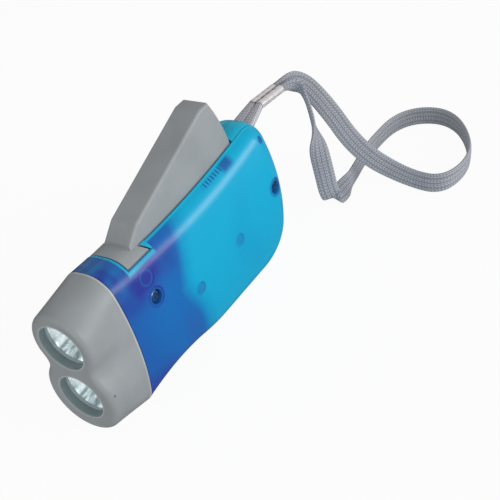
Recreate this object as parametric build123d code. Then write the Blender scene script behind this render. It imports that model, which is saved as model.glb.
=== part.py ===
from build123d import *
import os
from math import acos, atan2, cos, degrees, pi, radians, sin, sqrt, tan

# Squeeze-lever dynamo torch with two lamps and a wrist strap.
# Frame, in mm: +X the way the lamps shine, +Y the side with the screws, +Z up to the
# lever, z = 0 the ground that the belly stands on, y = 0 the parting plane of the two
# body shells. Side views are drawn as (x, z). Pairs are (low, high) unless said.

# ---- driving dimensions -----------------------------------------------------
ORIGIN_SHIFT = 1.1       # moves everything along X, to put x = 0 at mid-length

# body shells
SEAM_X = 34.5            # plane where the head meets the shells
TOP_SEAM_Z = 52.8        # crest line of the body, at the seam
TOP_MID_X = 5.0
TOP_MID_Z = 50.9         # its lowest point
TOP_REAR_X = -43.0
TOP_REAR_Z = 54.4        # where the rear corner starts
REAR_CORNER = (-54.0, 45.5)
REAR_HEEL = (-52.5, 15.0)
BELLY_FRONT_X = -10.0    # the flat of the belly ends here
WAIST_TURN = (3.0, 1.5)  # the underside turns here from hollow to round
CHIN_Z = 0.9             # underside at the seam
REAR_X = -54.7           # where the rear half-width is taken
REAR_HALF_WIDTH = 13.8
SEAM_HALF_WIDTH = 12.4
WIDEST_Z = 25.0
SIDE_RADIUS = 85.0       # bulge of the sides, seen from the front
EDGE_RADIUS = 9.0
WALL = 1.8
BOSS_WALL = 1.2
END_PLAY = 0.1
RUNNING = 0.05           # radial clearance of running fits

# head
LAMP_FACE_X = 52.0
LAMP_LOW_Z = 18.5
LAMP_PITCH = 20.0
LAMP_BORE = 8.5          # radius behind the lens
LAMP_MOUTH = 8.1         # radius in front of it
LOBE_TOP = 11.5          # radius of the rim outline round the upper lamp
LOBE_LOW = 13.2
NECK_HALF = 9.0          # half-width of the pinch between the lamps
HEAD_WALL = 2.0
RIM_ROUND = 2.0
FACE_THICK = 2.6
SLEEVE_WALL = 1.4
SLEEVE_REAR_X = 45.0
SPIGOT_X = (31.5, 35.5)
SPIGOT_GAP = 0.1         # clearance of the spigot inside the shells
SPIGOT_WALL = 1.2
POST_Y = 4.0
POST_RADIUS = 1.6
RUN_ON = 20.0            # how far the body's form is drawn past the seam
RING_POINTS = 48         # points of each smooth outline that the head is lofted through
RING_STEPS = 960         # fine steps they are picked from, a multiple of RING_POINTS

# lever
PIVOT = (21.5, 43.5)
PIN_RADIUS = 1.5
PIN_HALF = 9.5
HUB_RADIUS = 8.6         # rear of the ears, about the pivot
HUB_FRONT = 3.45         # front of the hub ahead of the pivot
HUB_SINK = 0.2           # how far the hub's top lies under the body's form
HUB_CORE = 4.2
HUB_HALF = 7.9           # half-width over the ears
LEVER_HALF = 5.16
LEVER_WALL = 1.4
LEVER_EDGE = 1.0
LEVER_BEND = 3.0         # rounding of the kink and the heel
LEVER_LEDGE = (18.6, 52.0)
LEVER_KINK = (13.5, 56.3)
LEVER_HEEL = (-27.5, 71.3)
LEVER_TIP_DEG = 152.6    # direction of the tip from the pivot
LEVER_LENGTH = 60.2      # radius of the rear wall about the pivot
LEVER_DEPTH_DEG = 176.5  # direction of the lever's lower edge from the pivot
LEVER_TRAVEL = 20.0      # degrees, open to flush
LEVER_GAP = 0.45
RIB_DEG = 168.0          # lower edge of the middle rib
RIB_HALF = 0.8

# return spring, a ring of coils in a groove of the hub
SPRING_RADII = (2.75, 4.1)
SPRING_Y = (-7.3, -5.5)
SPRING_WIRE = 0.35
SPRING_LEG = 8.2         # how far its legs reach from the pivot
SPRING_LEG_DEG = (-28.0, 150.0)
GROOVE_GAP = 0.1

# gear train
PINION_DEG = 202.0       # direction of the first axle from the pivot
QUADRANT_TEETH = 98
QUADRANT_MODULE = 0.8
QUADRANT_HALF = 1.5
QUADRANT_BAND = 3.0
QUADRANT_DEG = (147.5, 206.5)
TOOTH_RANGE = (-7, 1)    # teeth cut, counted from the one at the first pinion
FIRST_PINION_TEETH = 16
FIRST_PINION_HALF = 2.0
FIRST_HUB = 3.0
FIRST_GEAR_TEETH = 78
FIRST_GEAR_Y = (5.55, 6.95)
FINE_MODULE = 0.5
SECOND_PINION_TEETH = 16
SECOND_PINION_Y = (5.3, 7.2)
SECOND_HUB = 2.0
SECOND_GEAR_TEETH = 40
SECOND_GEAR_Y = (-3.3, -1.9)
ROTOR_PINION_TEETH = 12
ROTOR_PINION_Y = (-3.6, -1.6)
SECOND_DEG = -4.35       # direction of the second axle from the first
ROTOR_DEG = -15.0        # direction of the rotor from the second axle
BACKLASH = 0.14
CENTRE_SLACK = 0.10
AXLE_RADIUS = 1.0
AXLE_HALF = 10.5
AXLE_BOSS = 2.4
LIGHTENING_HOLES = 6
LIGHTENING_RADIUS = 3.6
LIGHTENING_AT = 12.0

# generator
SHAFT_RADIUS = 0.75
SHAFT_Y = (-10.0, 1.5)
SHAFT_BOSS = 2.2
FLYWHEEL_RADIUS = 9.0
FLYWHEEL_Y = (-9.6, -4.9)
FLYWHEEL_WEB = 0.8
MAGNET_RADIUS = 8.0
MAGNET_BORE = 6.3
STATOR_RADIUS = 5.8
STATOR_Y = (-10.2, -6.0)
STATOR_PLATE = 0.8
STATOR_TUBE = 2.0
STATOR_BOSS = 4.0
POLES = 8
POLE_SLOT = (1.4, 1.6)   # width and depth of the slots between the poles
BOBBIN_RADIUS = 5.6
BOBBIN_WALL = 0.5
COIL_RADIUS = 5.2

# lamps
LENS_RECESS = 3.0
LENS_THICK = 1.2
LENS_GAP = 0.1
REFLECTOR_DEPTH = 7.8
REFLECTOR_WALL = 0.7
REFLECTOR_RIM = 0.8
LED_RADIUS = 2.5
LED_FLANGE = 0.4
LED_LENGTH = 8.6
LED_LEAD = 0.3
LED_LEAD_Y = 1.27
BOARD_X = (36.4, 37.6)
BOARD_HALF = 7.4
BOARD_Z = (14.0, 43.0)
DIODE = (1.6, 1.8, 3.4)  # x, y, z of a body
DIODE_PITCH = 3.2
DIODE_Z = 34.2
DIODE_COUNT = 4

# cells
CELL_RADIUS = 5.8
CELL_HEIGHT = 5.4
CELL_CAP = 0.4
CELL_CAP_RADIUS = 4.6
CELL_COUNT = 3
CELL_AT = (29.4, 0.0)    # x, y of their axis
CELL_Z = 11.4
CELL_GAP = 0.1
CRADLE_WALL = 1.0
CONTACT_THICK = 0.3
CONTACT_RADIUS = 4.4

# screws, (x, z)
SCREWS = ((21.0, 36.0), (-45.5, 30.8))
SCREW_HEAD = 2.0
SCREW_HEAD_TALL = 1.3
SCREW_SHANK = 1.0
SCREW_DEPTH = 2.7        # seat of the heads, inwards from the widest of the body there
SCREW_END_Y = -6.0
SCREW_BOSS = 3.3
SCREW_RECESS = 2.4
CROSS_SLOT = (0.5, 0.6)  # width and depth
LOCATING_PIN = (4.0, 7.6)
LOCATING_RADIUS = 1.0
LOCATING_BOSS = 2.2
LOCATING_DEPTH = 2.5

# switch on the -Y side
SWITCH = (1.0, 37.6)
SWITCH_TRAVEL = 2.5
SWITCH_GAP = 0.3
SWITCH_CAP = (6.2, 4.6)
SWITCH_CAP_Y = (-12.9, -11.25)
SWITCH_FLOOR_Y = -11.2   # floor of the recess the cap slides on
SWITCH_PAD_Y = -9.6      # inner face of the thickened wall
SWITCH_RIB_PITCH = 1.5
SWITCH_RIB_DEPTH = 0.5
SWITCH_STEM = (3.0, 2.2)
SWITCH_STEM_Y = -8.6
SWITCH_BODY = (9.0, 4.4)
SWITCH_BODY_Y = (-9.6, -6.3)
SWITCH_LEGS_X = (-3.0, 0.0, 3.0)
SWITCH_LEG = (0.6, 0.3, 1.6)

# leads inside
LEAD_RADIUS = 0.45
LEAD_Z = 31.5
LEAD_BEND = 0.6
LEADS_Y = (-8.1, -6.8)

# strap
STRAP_BAR = (-47.0, 48.4)
STRAP_BAR_RADIUS = 1.4
STRAP_BAR_HALF = 6.6
STRAP_THICK = 1.5        # one layer of the braid
TAIL_HALF = (4.25, 2.9)  # half-width of the tail at the bar and at the ferrule
STRAP_SLOT_GAP = 0.5
FERRULE_START = (-62.1, 51.7)
FERRULE_END = (-76.1, 50.1)
FERRULE_LOBE = 1.5
FERRULE_Y = 1.45         # each strand's distance from the middle
CRIMP = (1.2, 0.2)       # width and depth of a crimp line
CRIMP_COUNT = 3
CORD_DIAMETER = 2.6
CORD_FLOOR_Z = 3.75      # centre of the braid where it lies on its edge
# corners of the loop's route, (x, y, z), from one side of the ferrule to the other
CORD_ROUTE = (
    (-76.1, -1.45, 50.1), (-88.0, 0.2, 49.2), (-92.0, 8.0, 36.0), (-91.0, 20.0, 17.0),
    (-97.0, 35.0, CORD_FLOOR_Z), (-95.5, 51.5, CORD_FLOOR_Z), (-117.0, 54.5, CORD_FLOOR_Z),
    (-142.0, 35.0, CORD_FLOOR_Z), (-136.5, 14.0, CORD_FLOOR_Z), (-110.0, 11.8, CORD_FLOOR_Z),
    (-92.0, 14.6, CORD_FLOOR_Z), (-79.0, 15.5, CORD_FLOOR_Z), (-74.8, 14.6, 6.5),
    (-77.5, 12.2, 15.0), (-79.5, 10.2, 24.0), (-83.3, 7.5, 41.5), (-83.2, 3.0, 50.0),
    (-76.1, 1.45, 50.1))


# ---- places worked out from them ----------------------------------------------
LAMPS_Z = (LAMP_LOW_Z + LAMP_PITCH, LAMP_LOW_Z)
LENS_FRONT_X = LAMP_FACE_X - LENS_RECESS
QUADRANT_RADIUS = QUADRANT_TEETH * QUADRANT_MODULE / 2
FIRST_PINION_RADIUS = FIRST_PINION_TEETH * QUADRANT_MODULE / 2
CELL_TOP = CELL_Z + CELL_COUNT * CELL_HEIGHT
OUTSIDE = 2 * REAR_HALF_WIDTH


def beyond(start, distance, direction):
    """The (x, z) point at a distance from start, direction in degrees."""
    return (start[0] + distance * cos(radians(direction)),
            start[1] + distance * sin(radians(direction)))


FIRST_AXLE = beyond(PIVOT, QUADRANT_RADIUS + FIRST_PINION_RADIUS + CENTRE_SLACK, PINION_DEG)
SECOND_AXLE = beyond(
    FIRST_AXLE,
    (FIRST_GEAR_TEETH + SECOND_PINION_TEETH) * FINE_MODULE / 2 + CENTRE_SLACK, SECOND_DEG)
ROTOR_AXLE = beyond(
    SECOND_AXLE,
    (SECOND_GEAR_TEETH + ROTOR_PINION_TEETH) * FINE_MODULE / 2 + CENTRE_SLACK, ROTOR_DEG)


# ---- small builders -----------------------------------------------------------
def across(centre, radius, y_low, y_high):
    """A cylinder along Y over (x, z) = centre, from y_low to y_high."""
    disc = Plane.XZ * Pos(*centre) * Circle(radius)
    return Pos(0, y_high, 0) * extrude(disc, y_high - y_low)


def collar(centre, radius, bore, y_low, y_high):
    """A tube along Y over (x, z) = centre."""
    return across(centre, radius, y_low, y_high) - across(centre, bore, y_low - 1, y_high + 1)


def slab(outline, y_low, y_high):
    """A face drawn in (x, z), made a solid from y_low to y_high."""
    return Pos(0, y_high, 0) * extrude(Plane.XZ * outline, y_high - y_low)


def block(x, y, z):
    """A box from three (low, high) pairs."""
    centre = ((x[0] + x[1]) / 2, (y[0] + y[1]) / 2, (z[0] + z[1]) / 2)
    return Pos(*centre) * Box(x[1] - x[0], y[1] - y[0], z[1] - z[0])


def span(middle, width):
    """The (low, high) pair of a width about its middle."""
    return (middle - width / 2, middle + width / 2)


def along(centre, radius, x_low, x_high):
    """A cylinder along X over (y, z) = centre, from x_low to x_high."""
    disc = Plane.YZ * Pos(*centre) * Circle(radius)
    return Pos(x_low, 0, 0) * extrude(disc, x_high - x_low)


def upright(centre, radius, z_low, z_high):
    """A cylinder along Z over (x, y) = centre."""
    return Pos(centre[0], centre[1], z_low) * extrude(Circle(radius), z_high - z_low)


def sector(centre, radius, first_deg, last_deg):
    """A pie slice in (x, z) that spans less than half a turn."""
    middle = beyond(centre, radius, (first_deg + last_deg) / 2)
    start = beyond(centre, radius, first_deg)
    end = beyond(centre, radius, last_deg)
    return make_face([Line(centre, start), ThreePointArc(start, middle, end), Line(end, centre)])


def gear_outline(centre, teeth, module, phase, first=0, count=None):
    """Points round the teeth of a spur gear, with a tooth at phase degrees."""
    pitch = teeth * module / 2
    tip = pitch + 0.9 * module
    root = pitch - 1.15 * module
    step = 360 / teeth
    half_tooth = degrees((pi * module / 4 - BACKLASH / 2) / pitch)
    lean = degrees(module * tan(radians(20)) / pitch)
    points = []
    for index in range(first, first + (count or teeth)):
        middle = phase + index * step
        points += [beyond(centre, root, middle - half_tooth - lean),
                   beyond(centre, tip, middle - half_tooth + 0.9 * lean),
                   beyond(centre, tip, middle + half_tooth - 0.9 * lean),
                   beyond(centre, root, middle + half_tooth + lean)]
    return points


def gear(centre, teeth, module, phase, y_span, bore):
    """A spur gear about a Y axis."""
    rim = make_face(Polyline(*gear_outline(centre, teeth, module, phase), close=True))
    return slab(rim, *y_span) - across(centre, bore, y_span[0] - 1, y_span[1] + 1)


# ---- form of the body -----------------------------------------------------------
def side_outline():
    """The body seen from the side, run on past the seam so the head can follow it."""
    crest = ThreePointArc((SEAM_X, TOP_SEAM_Z), (TOP_MID_X, TOP_MID_Z), (TOP_REAR_X, TOP_REAR_Z))
    front = Line(crest @ 0 - (crest % 0) * RUN_ON, crest @ 0)
    corner = TangentArc((TOP_REAR_X, TOP_REAR_Z), REAR_CORNER, tangent=crest % 1)
    back = TangentArc(REAR_CORNER, REAR_HEEL, tangent=corner % 1)
    heading = back % 1
    turn = acos(heading.X)
    heel_radius = REAR_HEEL[1] / (1 - cos(turn))
    belly_rear = (REAR_HEEL[0] + heel_radius * sin(turn), 0)
    heel = TangentArc(REAR_HEEL, belly_rear, tangent=heading)
    belly = Line(belly_rear, (BELLY_FRONT_X, 0))
    hollow = TangentArc((BELLY_FRONT_X, 0), WAIST_TURN, tangent=(1, 0))
    waist = TangentArc(WAIST_TURN, (SEAM_X, CHIN_Z), tangent=hollow % 1)
    chin = Line(waist @ 1, waist @ 1 + (waist % 1) * RUN_ON)
    end = Line(chin @ 1, front @ 0)
    return make_face([front, crest, corner, back, heel, belly, hollow, waist, chin, end])


def body_form(inset):
    """The solid form of the body, with every surface moved in by inset."""
    outline = side_outline()
    if inset:
        outline = offset(outline, -inset, kind=Kind.INTERSECTION)
    form = slab(outline, -OUTSIDE, OUTSIDE)
    taper = degrees(atan2(REAR_HALF_WIDTH - SEAM_HALF_WIDTH, SEAM_X - REAR_X))
    flank = along((0, WIDEST_Z), SIDE_RADIUS - inset, 3 * REAR_X, 3 * SEAM_X)
    for side in (1, -1):
        hinge = Pos(SEAM_X, side * (SEAM_HALF_WIDTH - SIDE_RADIUS), 0)
        form &= hinge * Rot(0, 0, -side * taper) * Pos(-SEAM_X, 0, 0) * flank
    front = form.bounding_box().max.X
    rims = [edge for edge in form.edges()
            if abs(edge.center().Y) > EDGE_RADIUS / 2
            and edge.bounding_box().min.X < front - RUN_ON / 2]
    return fillet(rims, EDGE_RADIUS - inset)


OUTER = body_form(0)
INNER = body_form(WALL)
MID_WALL = body_form(WALL / 2)


# ---- shells ---------------------------------------------------------------------
def boss(centre, radius, y_from, side):
    """A boss from y_from (unsigned) out into the wall of the shell on that side."""
    low, high = sorted((side * y_from, side * OUTSIDE))
    return across(centre, radius, low, high) & MID_WALL


def lever_slot():
    """What the lever and its hub need cut out of the top of the shells."""
    reach = LEVER_LENGTH + LEVER_GAP
    above = Pos(PIVOT[0] - reach, PIVOT[1] + reach) * Rectangle(2 * reach, 2 * reach)
    arm = slab(Pos(*PIVOT) * Circle(reach) & above, -LEVER_HALF - LEVER_GAP,
               LEVER_HALF + LEVER_GAP)
    wide = HUB_HALF + LEVER_GAP
    slot = arm + across(PIVOT, HUB_CORE + LEVER_GAP, -wide, wide)
    front = PIVOT[0] + HUB_FRONT + LEVER_GAP
    slot += block((PIVOT[0], front), (-wide, wide), (PIVOT[1] - LEVER_GAP, PIVOT[1] + reach))
    rear = sector(PIVOT, HUB_RADIUS + LEVER_GAP, 90, 182 + LEVER_TRAVEL)
    return slot + slab(rear, -wide, wide)


def tail_frame():
    """Position of the strap's tail: origin on the bar, x towards the ferrule."""
    run = STRAP_BAR[0] - FERRULE_START[0]
    rise = FERRULE_START[1] - STRAP_BAR[1]
    return Pos(STRAP_BAR[0], 0, STRAP_BAR[1]) * Rot(0, degrees(atan2(rise, run)) + 180, 0)


def strap_slot():
    """The mouth that the strap's tail comes out of."""
    length = STRAP_BAR[0] - REAR_X
    half = TAIL_HALF[0] + STRAP_SLOT_GAP
    lift = STRAP_THICK + STRAP_SLOT_GAP
    return tail_frame() * block((0, 2 * length), (-half, half), (-lift, lift))


def screw_seat(centre):
    """The y that a screw's head sits at."""
    share = (SEAM_X - centre[0]) / (SEAM_X - REAR_X)
    return SEAM_HALF_WIDTH + share * (REAR_HALF_WIDTH - SEAM_HALF_WIDTH) - SCREW_DEPTH


def screw_boss(half, centre, side):
    """A shell with the boss of one screw, and on the +Y side the recess of its head."""
    seat = screw_seat(centre)
    half += boss(centre, SCREW_BOSS, 0, side)
    half -= across(centre, SCREW_SHANK, SCREW_END_Y, seat)
    if side > 0:
        half -= across(centre, SCREW_RECESS, seat, OUTSIDE)
    return half


def axle_bosses(side):
    """The bosses that hold the pivot pin, the two axles and the rotor."""
    from_first = FIRST_GEAR_Y[1] if side > 0 else FIRST_PINION_HALF
    from_second = SECOND_PINION_Y[1] if side > 0 else -SECOND_GEAR_Y[0]
    posts = boss(PIVOT, PIN_RADIUS + BOSS_WALL, HUB_HALF + END_PLAY, side)
    posts += boss(FIRST_AXLE, AXLE_BOSS, from_first + END_PLAY, side)
    posts += boss(SECOND_AXLE, AXLE_BOSS, from_second + END_PLAY, side)
    posts -= across(PIVOT, PIN_RADIUS, -PIN_HALF - END_PLAY, PIN_HALF + END_PLAY)
    for axle in (FIRST_AXLE, SECOND_AXLE):
        posts -= across(axle, AXLE_RADIUS, -AXLE_HALF - END_PLAY, AXLE_HALF + END_PLAY)
    if side < 0:
        return posts + boss(ROTOR_AXLE, STATOR_BOSS, -STATOR_Y[0], side)
    bearing = across(ROTOR_AXLE, SHAFT_BOSS, ROTOR_PINION_Y[1] + END_PLAY, OUTSIDE) & MID_WALL
    hole = across(ROTOR_AXLE, SHAFT_RADIUS + RUNNING, ROTOR_PINION_Y[1], SHAFT_Y[1] + END_PLAY)
    return posts + bearing - hole


def shell(side):
    """One half of the body, side +1 or -1 along Y, with its bosses and openings."""
    y_span = (0, OUTSIDE) if side > 0 else (-OUTSIDE, 0)
    half = (OUTER - INNER) & block((2 * REAR_X, SEAM_X), y_span, (-WALL, 2 * TOP_REAR_Z))
    half += axle_bosses(side)
    half -= across(PIVOT, PIN_RADIUS, -PIN_HALF - END_PLAY, PIN_HALF + END_PLAY)
    for screw in SCREWS:
        half = screw_boss(half, screw, side)
    half += boss(STRAP_BAR, STRAP_BAR_RADIUS + BOSS_WALL, TAIL_HALF[0] + STRAP_SLOT_GAP, side)
    half -= across(STRAP_BAR, STRAP_BAR_RADIUS, -STRAP_BAR_HALF, STRAP_BAR_HALF)
    half += boss(LOCATING_PIN, LOCATING_BOSS, 0, side)
    if side > 0:
        half -= across(LOCATING_PIN, LOCATING_RADIUS, -1, LOCATING_DEPTH)
    else:
        peg = LOCATING_RADIUS - RUNNING
        half += across(LOCATING_PIN, peg, -1, LOCATING_DEPTH - END_PLAY)
        half += switch_pad()
        half -= switch_cuts()
    half -= lever_slot()
    half -= strap_slot()
    return half


def shell_screws():
    """The countersunk cross-head screws, drawn as one group."""
    group = []
    for centre in SCREWS:
        seat = screw_seat(centre)
        top = seat + SCREW_HEAD_TALL
        screw = across(centre, SCREW_SHANK, SCREW_END_Y + END_PLAY, seat)
        head = across(centre, SCREW_HEAD, seat, top)
        head = chamfer(head.edges().sort_by(Axis.Y)[-1], SCREW_HEAD_TALL / 3)
        for turned in (0, 90):
            cut = Rectangle(1.4 * SCREW_HEAD, CROSS_SLOT[0])
            cross = Pos(*centre) * Rot(0, 0, turned) * cut
            head -= slab(cross, top - CROSS_SLOT[1], top + 1)
        group.append(screw + head)
    return group[0] + group[1:]


# ---- switch ---------------------------------------------------------------------
def switch_pad():
    """Thicker wall inside the -Y shell where the switch sits."""
    x, z = SWITCH
    wide = SWITCH_BODY[0] + 2 * WALL
    tall = SWITCH_BODY[1] + 2 * WALL
    pad = block(span(x, wide), (-OUTSIDE, SWITCH_PAD_Y), span(z, tall))
    return pad & MID_WALL


def switch_slot(y_low, y_high, margin):
    """Room for the stem along its whole travel."""
    x, z = SWITCH
    long = SWITCH_STEM[0] + SWITCH_TRAVEL + 2 * margin
    return block(span(x, long), (y_low, y_high), span(z, SWITCH_STEM[1] + 2 * margin))


def switch_cuts():
    """The recess that the cap slides in, and the slot for its stem."""
    x, z = SWITCH
    wide = SWITCH_CAP[0] + SWITCH_TRAVEL + 2 * SWITCH_GAP
    tall = SWITCH_CAP[1] + 2 * SWITCH_GAP
    recess = block(span(x, wide), (-OUTSIDE, SWITCH_FLOOR_Y), span(z, tall))
    return recess + switch_slot(-OUTSIDE, SWITCH_PAD_Y + 1, SWITCH_GAP)


def switch_slider():
    """Ribbed cap and stem, drawn at the off end of its travel."""
    x = SWITCH[0] - SWITCH_TRAVEL / 2
    z = SWITCH[1]
    slider = block(span(x, SWITCH_CAP[0]), SWITCH_CAP_Y, span(z, SWITCH_CAP[1]))
    outer = (SWITCH_CAP_Y[0] - 1, SWITCH_CAP_Y[0] + SWITCH_RIB_DEPTH)
    for rib in (-1.5, -0.5, 0.5, 1.5):
        groove = span(x + rib * SWITCH_RIB_PITCH, SWITCH_RIB_PITCH / 2)
        slider -= block(groove, outer, span(z, 2 * SWITCH_CAP[1]))
    stem_y = (SWITCH_CAP_Y[1] - 0.1, SWITCH_STEM_Y)
    return slider + block(span(x, SWITCH_STEM[0]), stem_y, span(z, SWITCH_STEM[1]))


def switch_body():
    """Slide switch with the pocket that its stem moves in, and three legs."""
    x, z = SWITCH
    case = block(span(x, SWITCH_BODY[0]), SWITCH_BODY_Y, span(z, SWITCH_BODY[1]))
    case -= switch_slot(SWITCH_BODY_Y[0] - 1, SWITCH_STEM_Y + SWITCH_GAP, SWITCH_GAP)
    low = z - SWITCH_BODY[1] / 2
    middle_y = (SWITCH_BODY_Y[0] + SWITCH_BODY_Y[1]) / 2
    for leg in SWITCH_LEGS_X:
        case += block(span(x + leg, SWITCH_LEG[0]), span(middle_y, SWITCH_LEG[1]),
                      (low - SWITCH_LEG[2], low + 0.5))
    return case


def lead(leg, lead_y):
    """An insulated wire from a leg of the switch forward to the board."""
    start_x = SWITCH[0] + leg
    start_z = SWITCH[1] - SWITCH_BODY[1] / 2 - SWITCH_LEG[2]
    route = FilletPolyline(
        (start_x, lead_y, start_z), (start_x, lead_y, LEAD_Z),
        (SPIGOT_X[0] - 1, lead_y, LEAD_Z), (BOARD_X[0] - 2, lead_y + 3, LEAD_Z),
        (BOARD_X[0], lead_y + 3, LEAD_Z), radius=LEAD_BEND)
    return sweep(Plane(route @ 0, z_dir=route % 0) * Circle(LEAD_RADIUS), path=route)


# ---- head -----------------------------------------------------------------------
def smooth_ring(wire):
    """A closed smooth curve through even steps of a wire, started at its topmost point."""
    fine = [wire @ (step / RING_STEPS) for step in range(RING_STEPS)]
    start = max(range(RING_STEPS), key=lambda step: round(fine[step].Z - abs(fine[step].Y), 3))
    stride = RING_STEPS // RING_POINTS
    if fine[(start + stride) % RING_STEPS].Y < fine[start].Y:
        stride = -stride
    return Spline(*[fine[(start + k * stride) % RING_STEPS] for k in range(RING_POINTS)], periodic=True)


def rim_outline(x, inset):
    """The figure-of-eight round the two lamps, in the plane at x."""
    top, low, neck = LOBE_TOP - inset, LOBE_LOW - inset, NECK_HALF - inset
    high_z, low_z = LAMPS_Z
    # the arc that joins the lobes grows until it touches both
    joint = 0.1
    while (sqrt((top + joint) ** 2 - (neck + joint) ** 2)
           + sqrt((low + joint) ** 2 - (neck + joint) ** 2)) < LAMP_PITCH:
        joint += 0.01
    down = sqrt((top + joint) ** 2 - (neck + joint) ** 2)
    up = sqrt((low + joint) ** 2 - (neck + joint) ** 2)
    middle_z = low_z + up + (LAMP_PITCH - up - down) / 2
    upper = beyond((0, high_z), top, -degrees(atan2(down, neck + joint)))
    lower = beyond((0, low_z), low, degrees(atan2(up, neck + joint)))
    right = [ThreePointArc((0, high_z + top), beyond((0, high_z), top, 30), upper),
             ThreePointArc(upper, (neck, middle_z), lower),
             ThreePointArc(lower, beyond((0, low_z), low, -30), (0, low_z - low))]
    left = [mirror(curve, Plane.YZ) for curve in right]
    return (Plane.YZ.offset(x) * make_face(right + left)).face().outer_wire()


def head_form(inset, x_front):
    """Loft from the body's own section at the seam to the outline round the lamps."""
    seam = section(OUTER, section_by=Plane.YZ.offset(SEAM_X)).face()
    if inset:
        seam = offset(seam, -inset, kind=Kind.INTERSECTION).face()
    rear = make_face(smooth_ring(seam.outer_wire()))
    front = make_face(smooth_ring(rim_outline(x_front, inset)))
    return loft([rear, front], ruled=True)


def head_bezel():
    """Grey head: figure-of-eight front, two lamp sleeves, posts, spigot into the shells."""
    head = head_form(0, LAMP_FACE_X)
    head = fillet(head.edges().sort_by(Axis.X)[-1], RIM_ROUND)
    back_of_face = LAMP_FACE_X - FACE_THICK
    head -= head_form(HEAD_WALL, back_of_face)
    collar_form = body_form(WALL + SPIGOT_GAP) - body_form(WALL + SPIGOT_GAP + SPIGOT_WALL)
    head += collar_form & block(SPIGOT_X, (-OUTSIDE, OUTSIDE), (-WALL, 2 * TOP_REAR_Z))
    for z in LAMPS_Z:
        head += along((0, z), LAMP_BORE + SLEEVE_WALL, SLEEVE_REAR_X, back_of_face + 1)
    for side in (1, -1):
        head += along((side * POST_Y, sum(LAMPS_Z) / 2), POST_RADIUS, BOARD_X[1],
                      back_of_face + 1)
    for z in LAMPS_Z:
        head -= along((0, z), LAMP_BORE, SLEEVE_REAR_X - 1, LENS_FRONT_X)
        head -= along((0, z), LAMP_MOUTH, LENS_FRONT_X - 1, LAMP_FACE_X + 1)
    return head


def lens(z):
    """Clear disc in the mouth of a lamp."""
    return along((0, z), LAMP_BORE - LENS_GAP, LENS_FRONT_X - LENS_THICK, LENS_FRONT_X)


def reflector(z):
    """Bright cup behind a lens, with a hole for the LED."""
    front = LENS_FRONT_X - LENS_THICK
    rear = front - REFLECTOR_DEPTH
    rim = LAMP_BORE - LENS_GAP
    throat = LED_RADIUS + RUNNING
    outer = ThreePointArc((rear, throat + REFLECTOR_WALL),
                          (rear + REFLECTOR_DEPTH / 3, 0.68 * rim), (front - REFLECTOR_RIM, rim))
    inner = ThreePointArc((rear, throat), (rear + REFLECTOR_DEPTH / 3, 0.68 * rim - REFLECTOR_WALL),
                          (front, rim - REFLECTOR_WALL))
    profile = make_face([outer, inner, Line((rear, throat), (rear, throat + REFLECTOR_WALL)),
                         Line((front - REFLECTOR_RIM, rim), (front, rim)),
                         Line((front, rim), (front, rim - REFLECTOR_WALL))])
    return Pos(0, 0, z) * revolve(profile, Axis.X, 360)


def led(z):
    """5 mm LED: flange, body and dome, with two leads through the board."""
    base = BOARD_X[1]
    dome = base + LED_LENGTH - LED_RADIUS
    lamp = along((0, z), LED_RADIUS + LED_FLANGE, base, base + 1)
    lamp += along((0, z), LED_RADIUS, base, dome)
    lamp += Pos(dome, 0, z) * Sphere(LED_RADIUS)
    for y in (-LED_LEAD_Y, LED_LEAD_Y):
        lamp += along((y, z), LED_LEAD, BOARD_X[0], base + 0.5)
    return lamp


def circuit_board():
    """Board across the back of the head, drilled for the LED leads."""
    board = block(BOARD_X, (-BOARD_HALF, BOARD_HALF), BOARD_Z)
    for z in LAMPS_Z:
        for y in (-LED_LEAD_Y, LED_LEAD_Y):
            board -= along((y, z), LED_LEAD, BOARD_X[0] - 1, BOARD_X[1] + 1)
    return board


def rectifier_diodes():
    """Small diodes in a row on the back of the board."""
    row = []
    for index in range(DIODE_COUNT):
        y = (index - (DIODE_COUNT - 1) / 2) * DIODE_PITCH
        row.append(block((BOARD_X[0] - DIODE[0], BOARD_X[0]), span(y, DIODE[1]),
                         span(DIODE_Z, DIODE[2])))
    return row[0] + row[1:]


# ---- cells ----------------------------------------------------------------------
def button_cells():
    """A stack of flat cells, each with its narrower cap."""
    stack = []
    for index in range(CELL_COUNT):
        low = CELL_Z + index * CELL_HEIGHT
        shoulder = low + CELL_HEIGHT - CELL_CAP
        can = upright(CELL_AT, CELL_RADIUS, low, shoulder)
        stack.append(can + upright(CELL_AT, CELL_CAP_RADIUS, shoulder, low + CELL_HEIGHT))
    return stack[0] + stack[1:]


def battery_cradle():
    """Open-backed tray that holds the cells against the board."""
    floor = CELL_Z - CONTACT_THICK
    roof = CELL_TOP + CONTACT_THICK
    half = CELL_RADIUS + CELL_GAP + CRADLE_WALL
    tray = block((CELL_AT[0], BOARD_X[0]), (-half, half), (floor - CRADLE_WALL, roof + CRADLE_WALL))
    return tray - upright(CELL_AT, CELL_RADIUS + CELL_GAP, floor, roof)


def contact(z_low):
    """Spring-plate contact at one end of the stack, with a tab to the board."""
    tab_x = (CELL_AT[0], BOARD_X[0] - CRADLE_WALL)
    disc = upright(CELL_AT, CONTACT_RADIUS, z_low, z_low + CONTACT_THICK)
    tab = block(tab_x, span(0, CONTACT_RADIUS), (z_low, z_low + CONTACT_THICK))
    return (disc + tab) & upright(CELL_AT, CELL_RADIUS, z_low, z_low + CONTACT_THICK)


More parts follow.
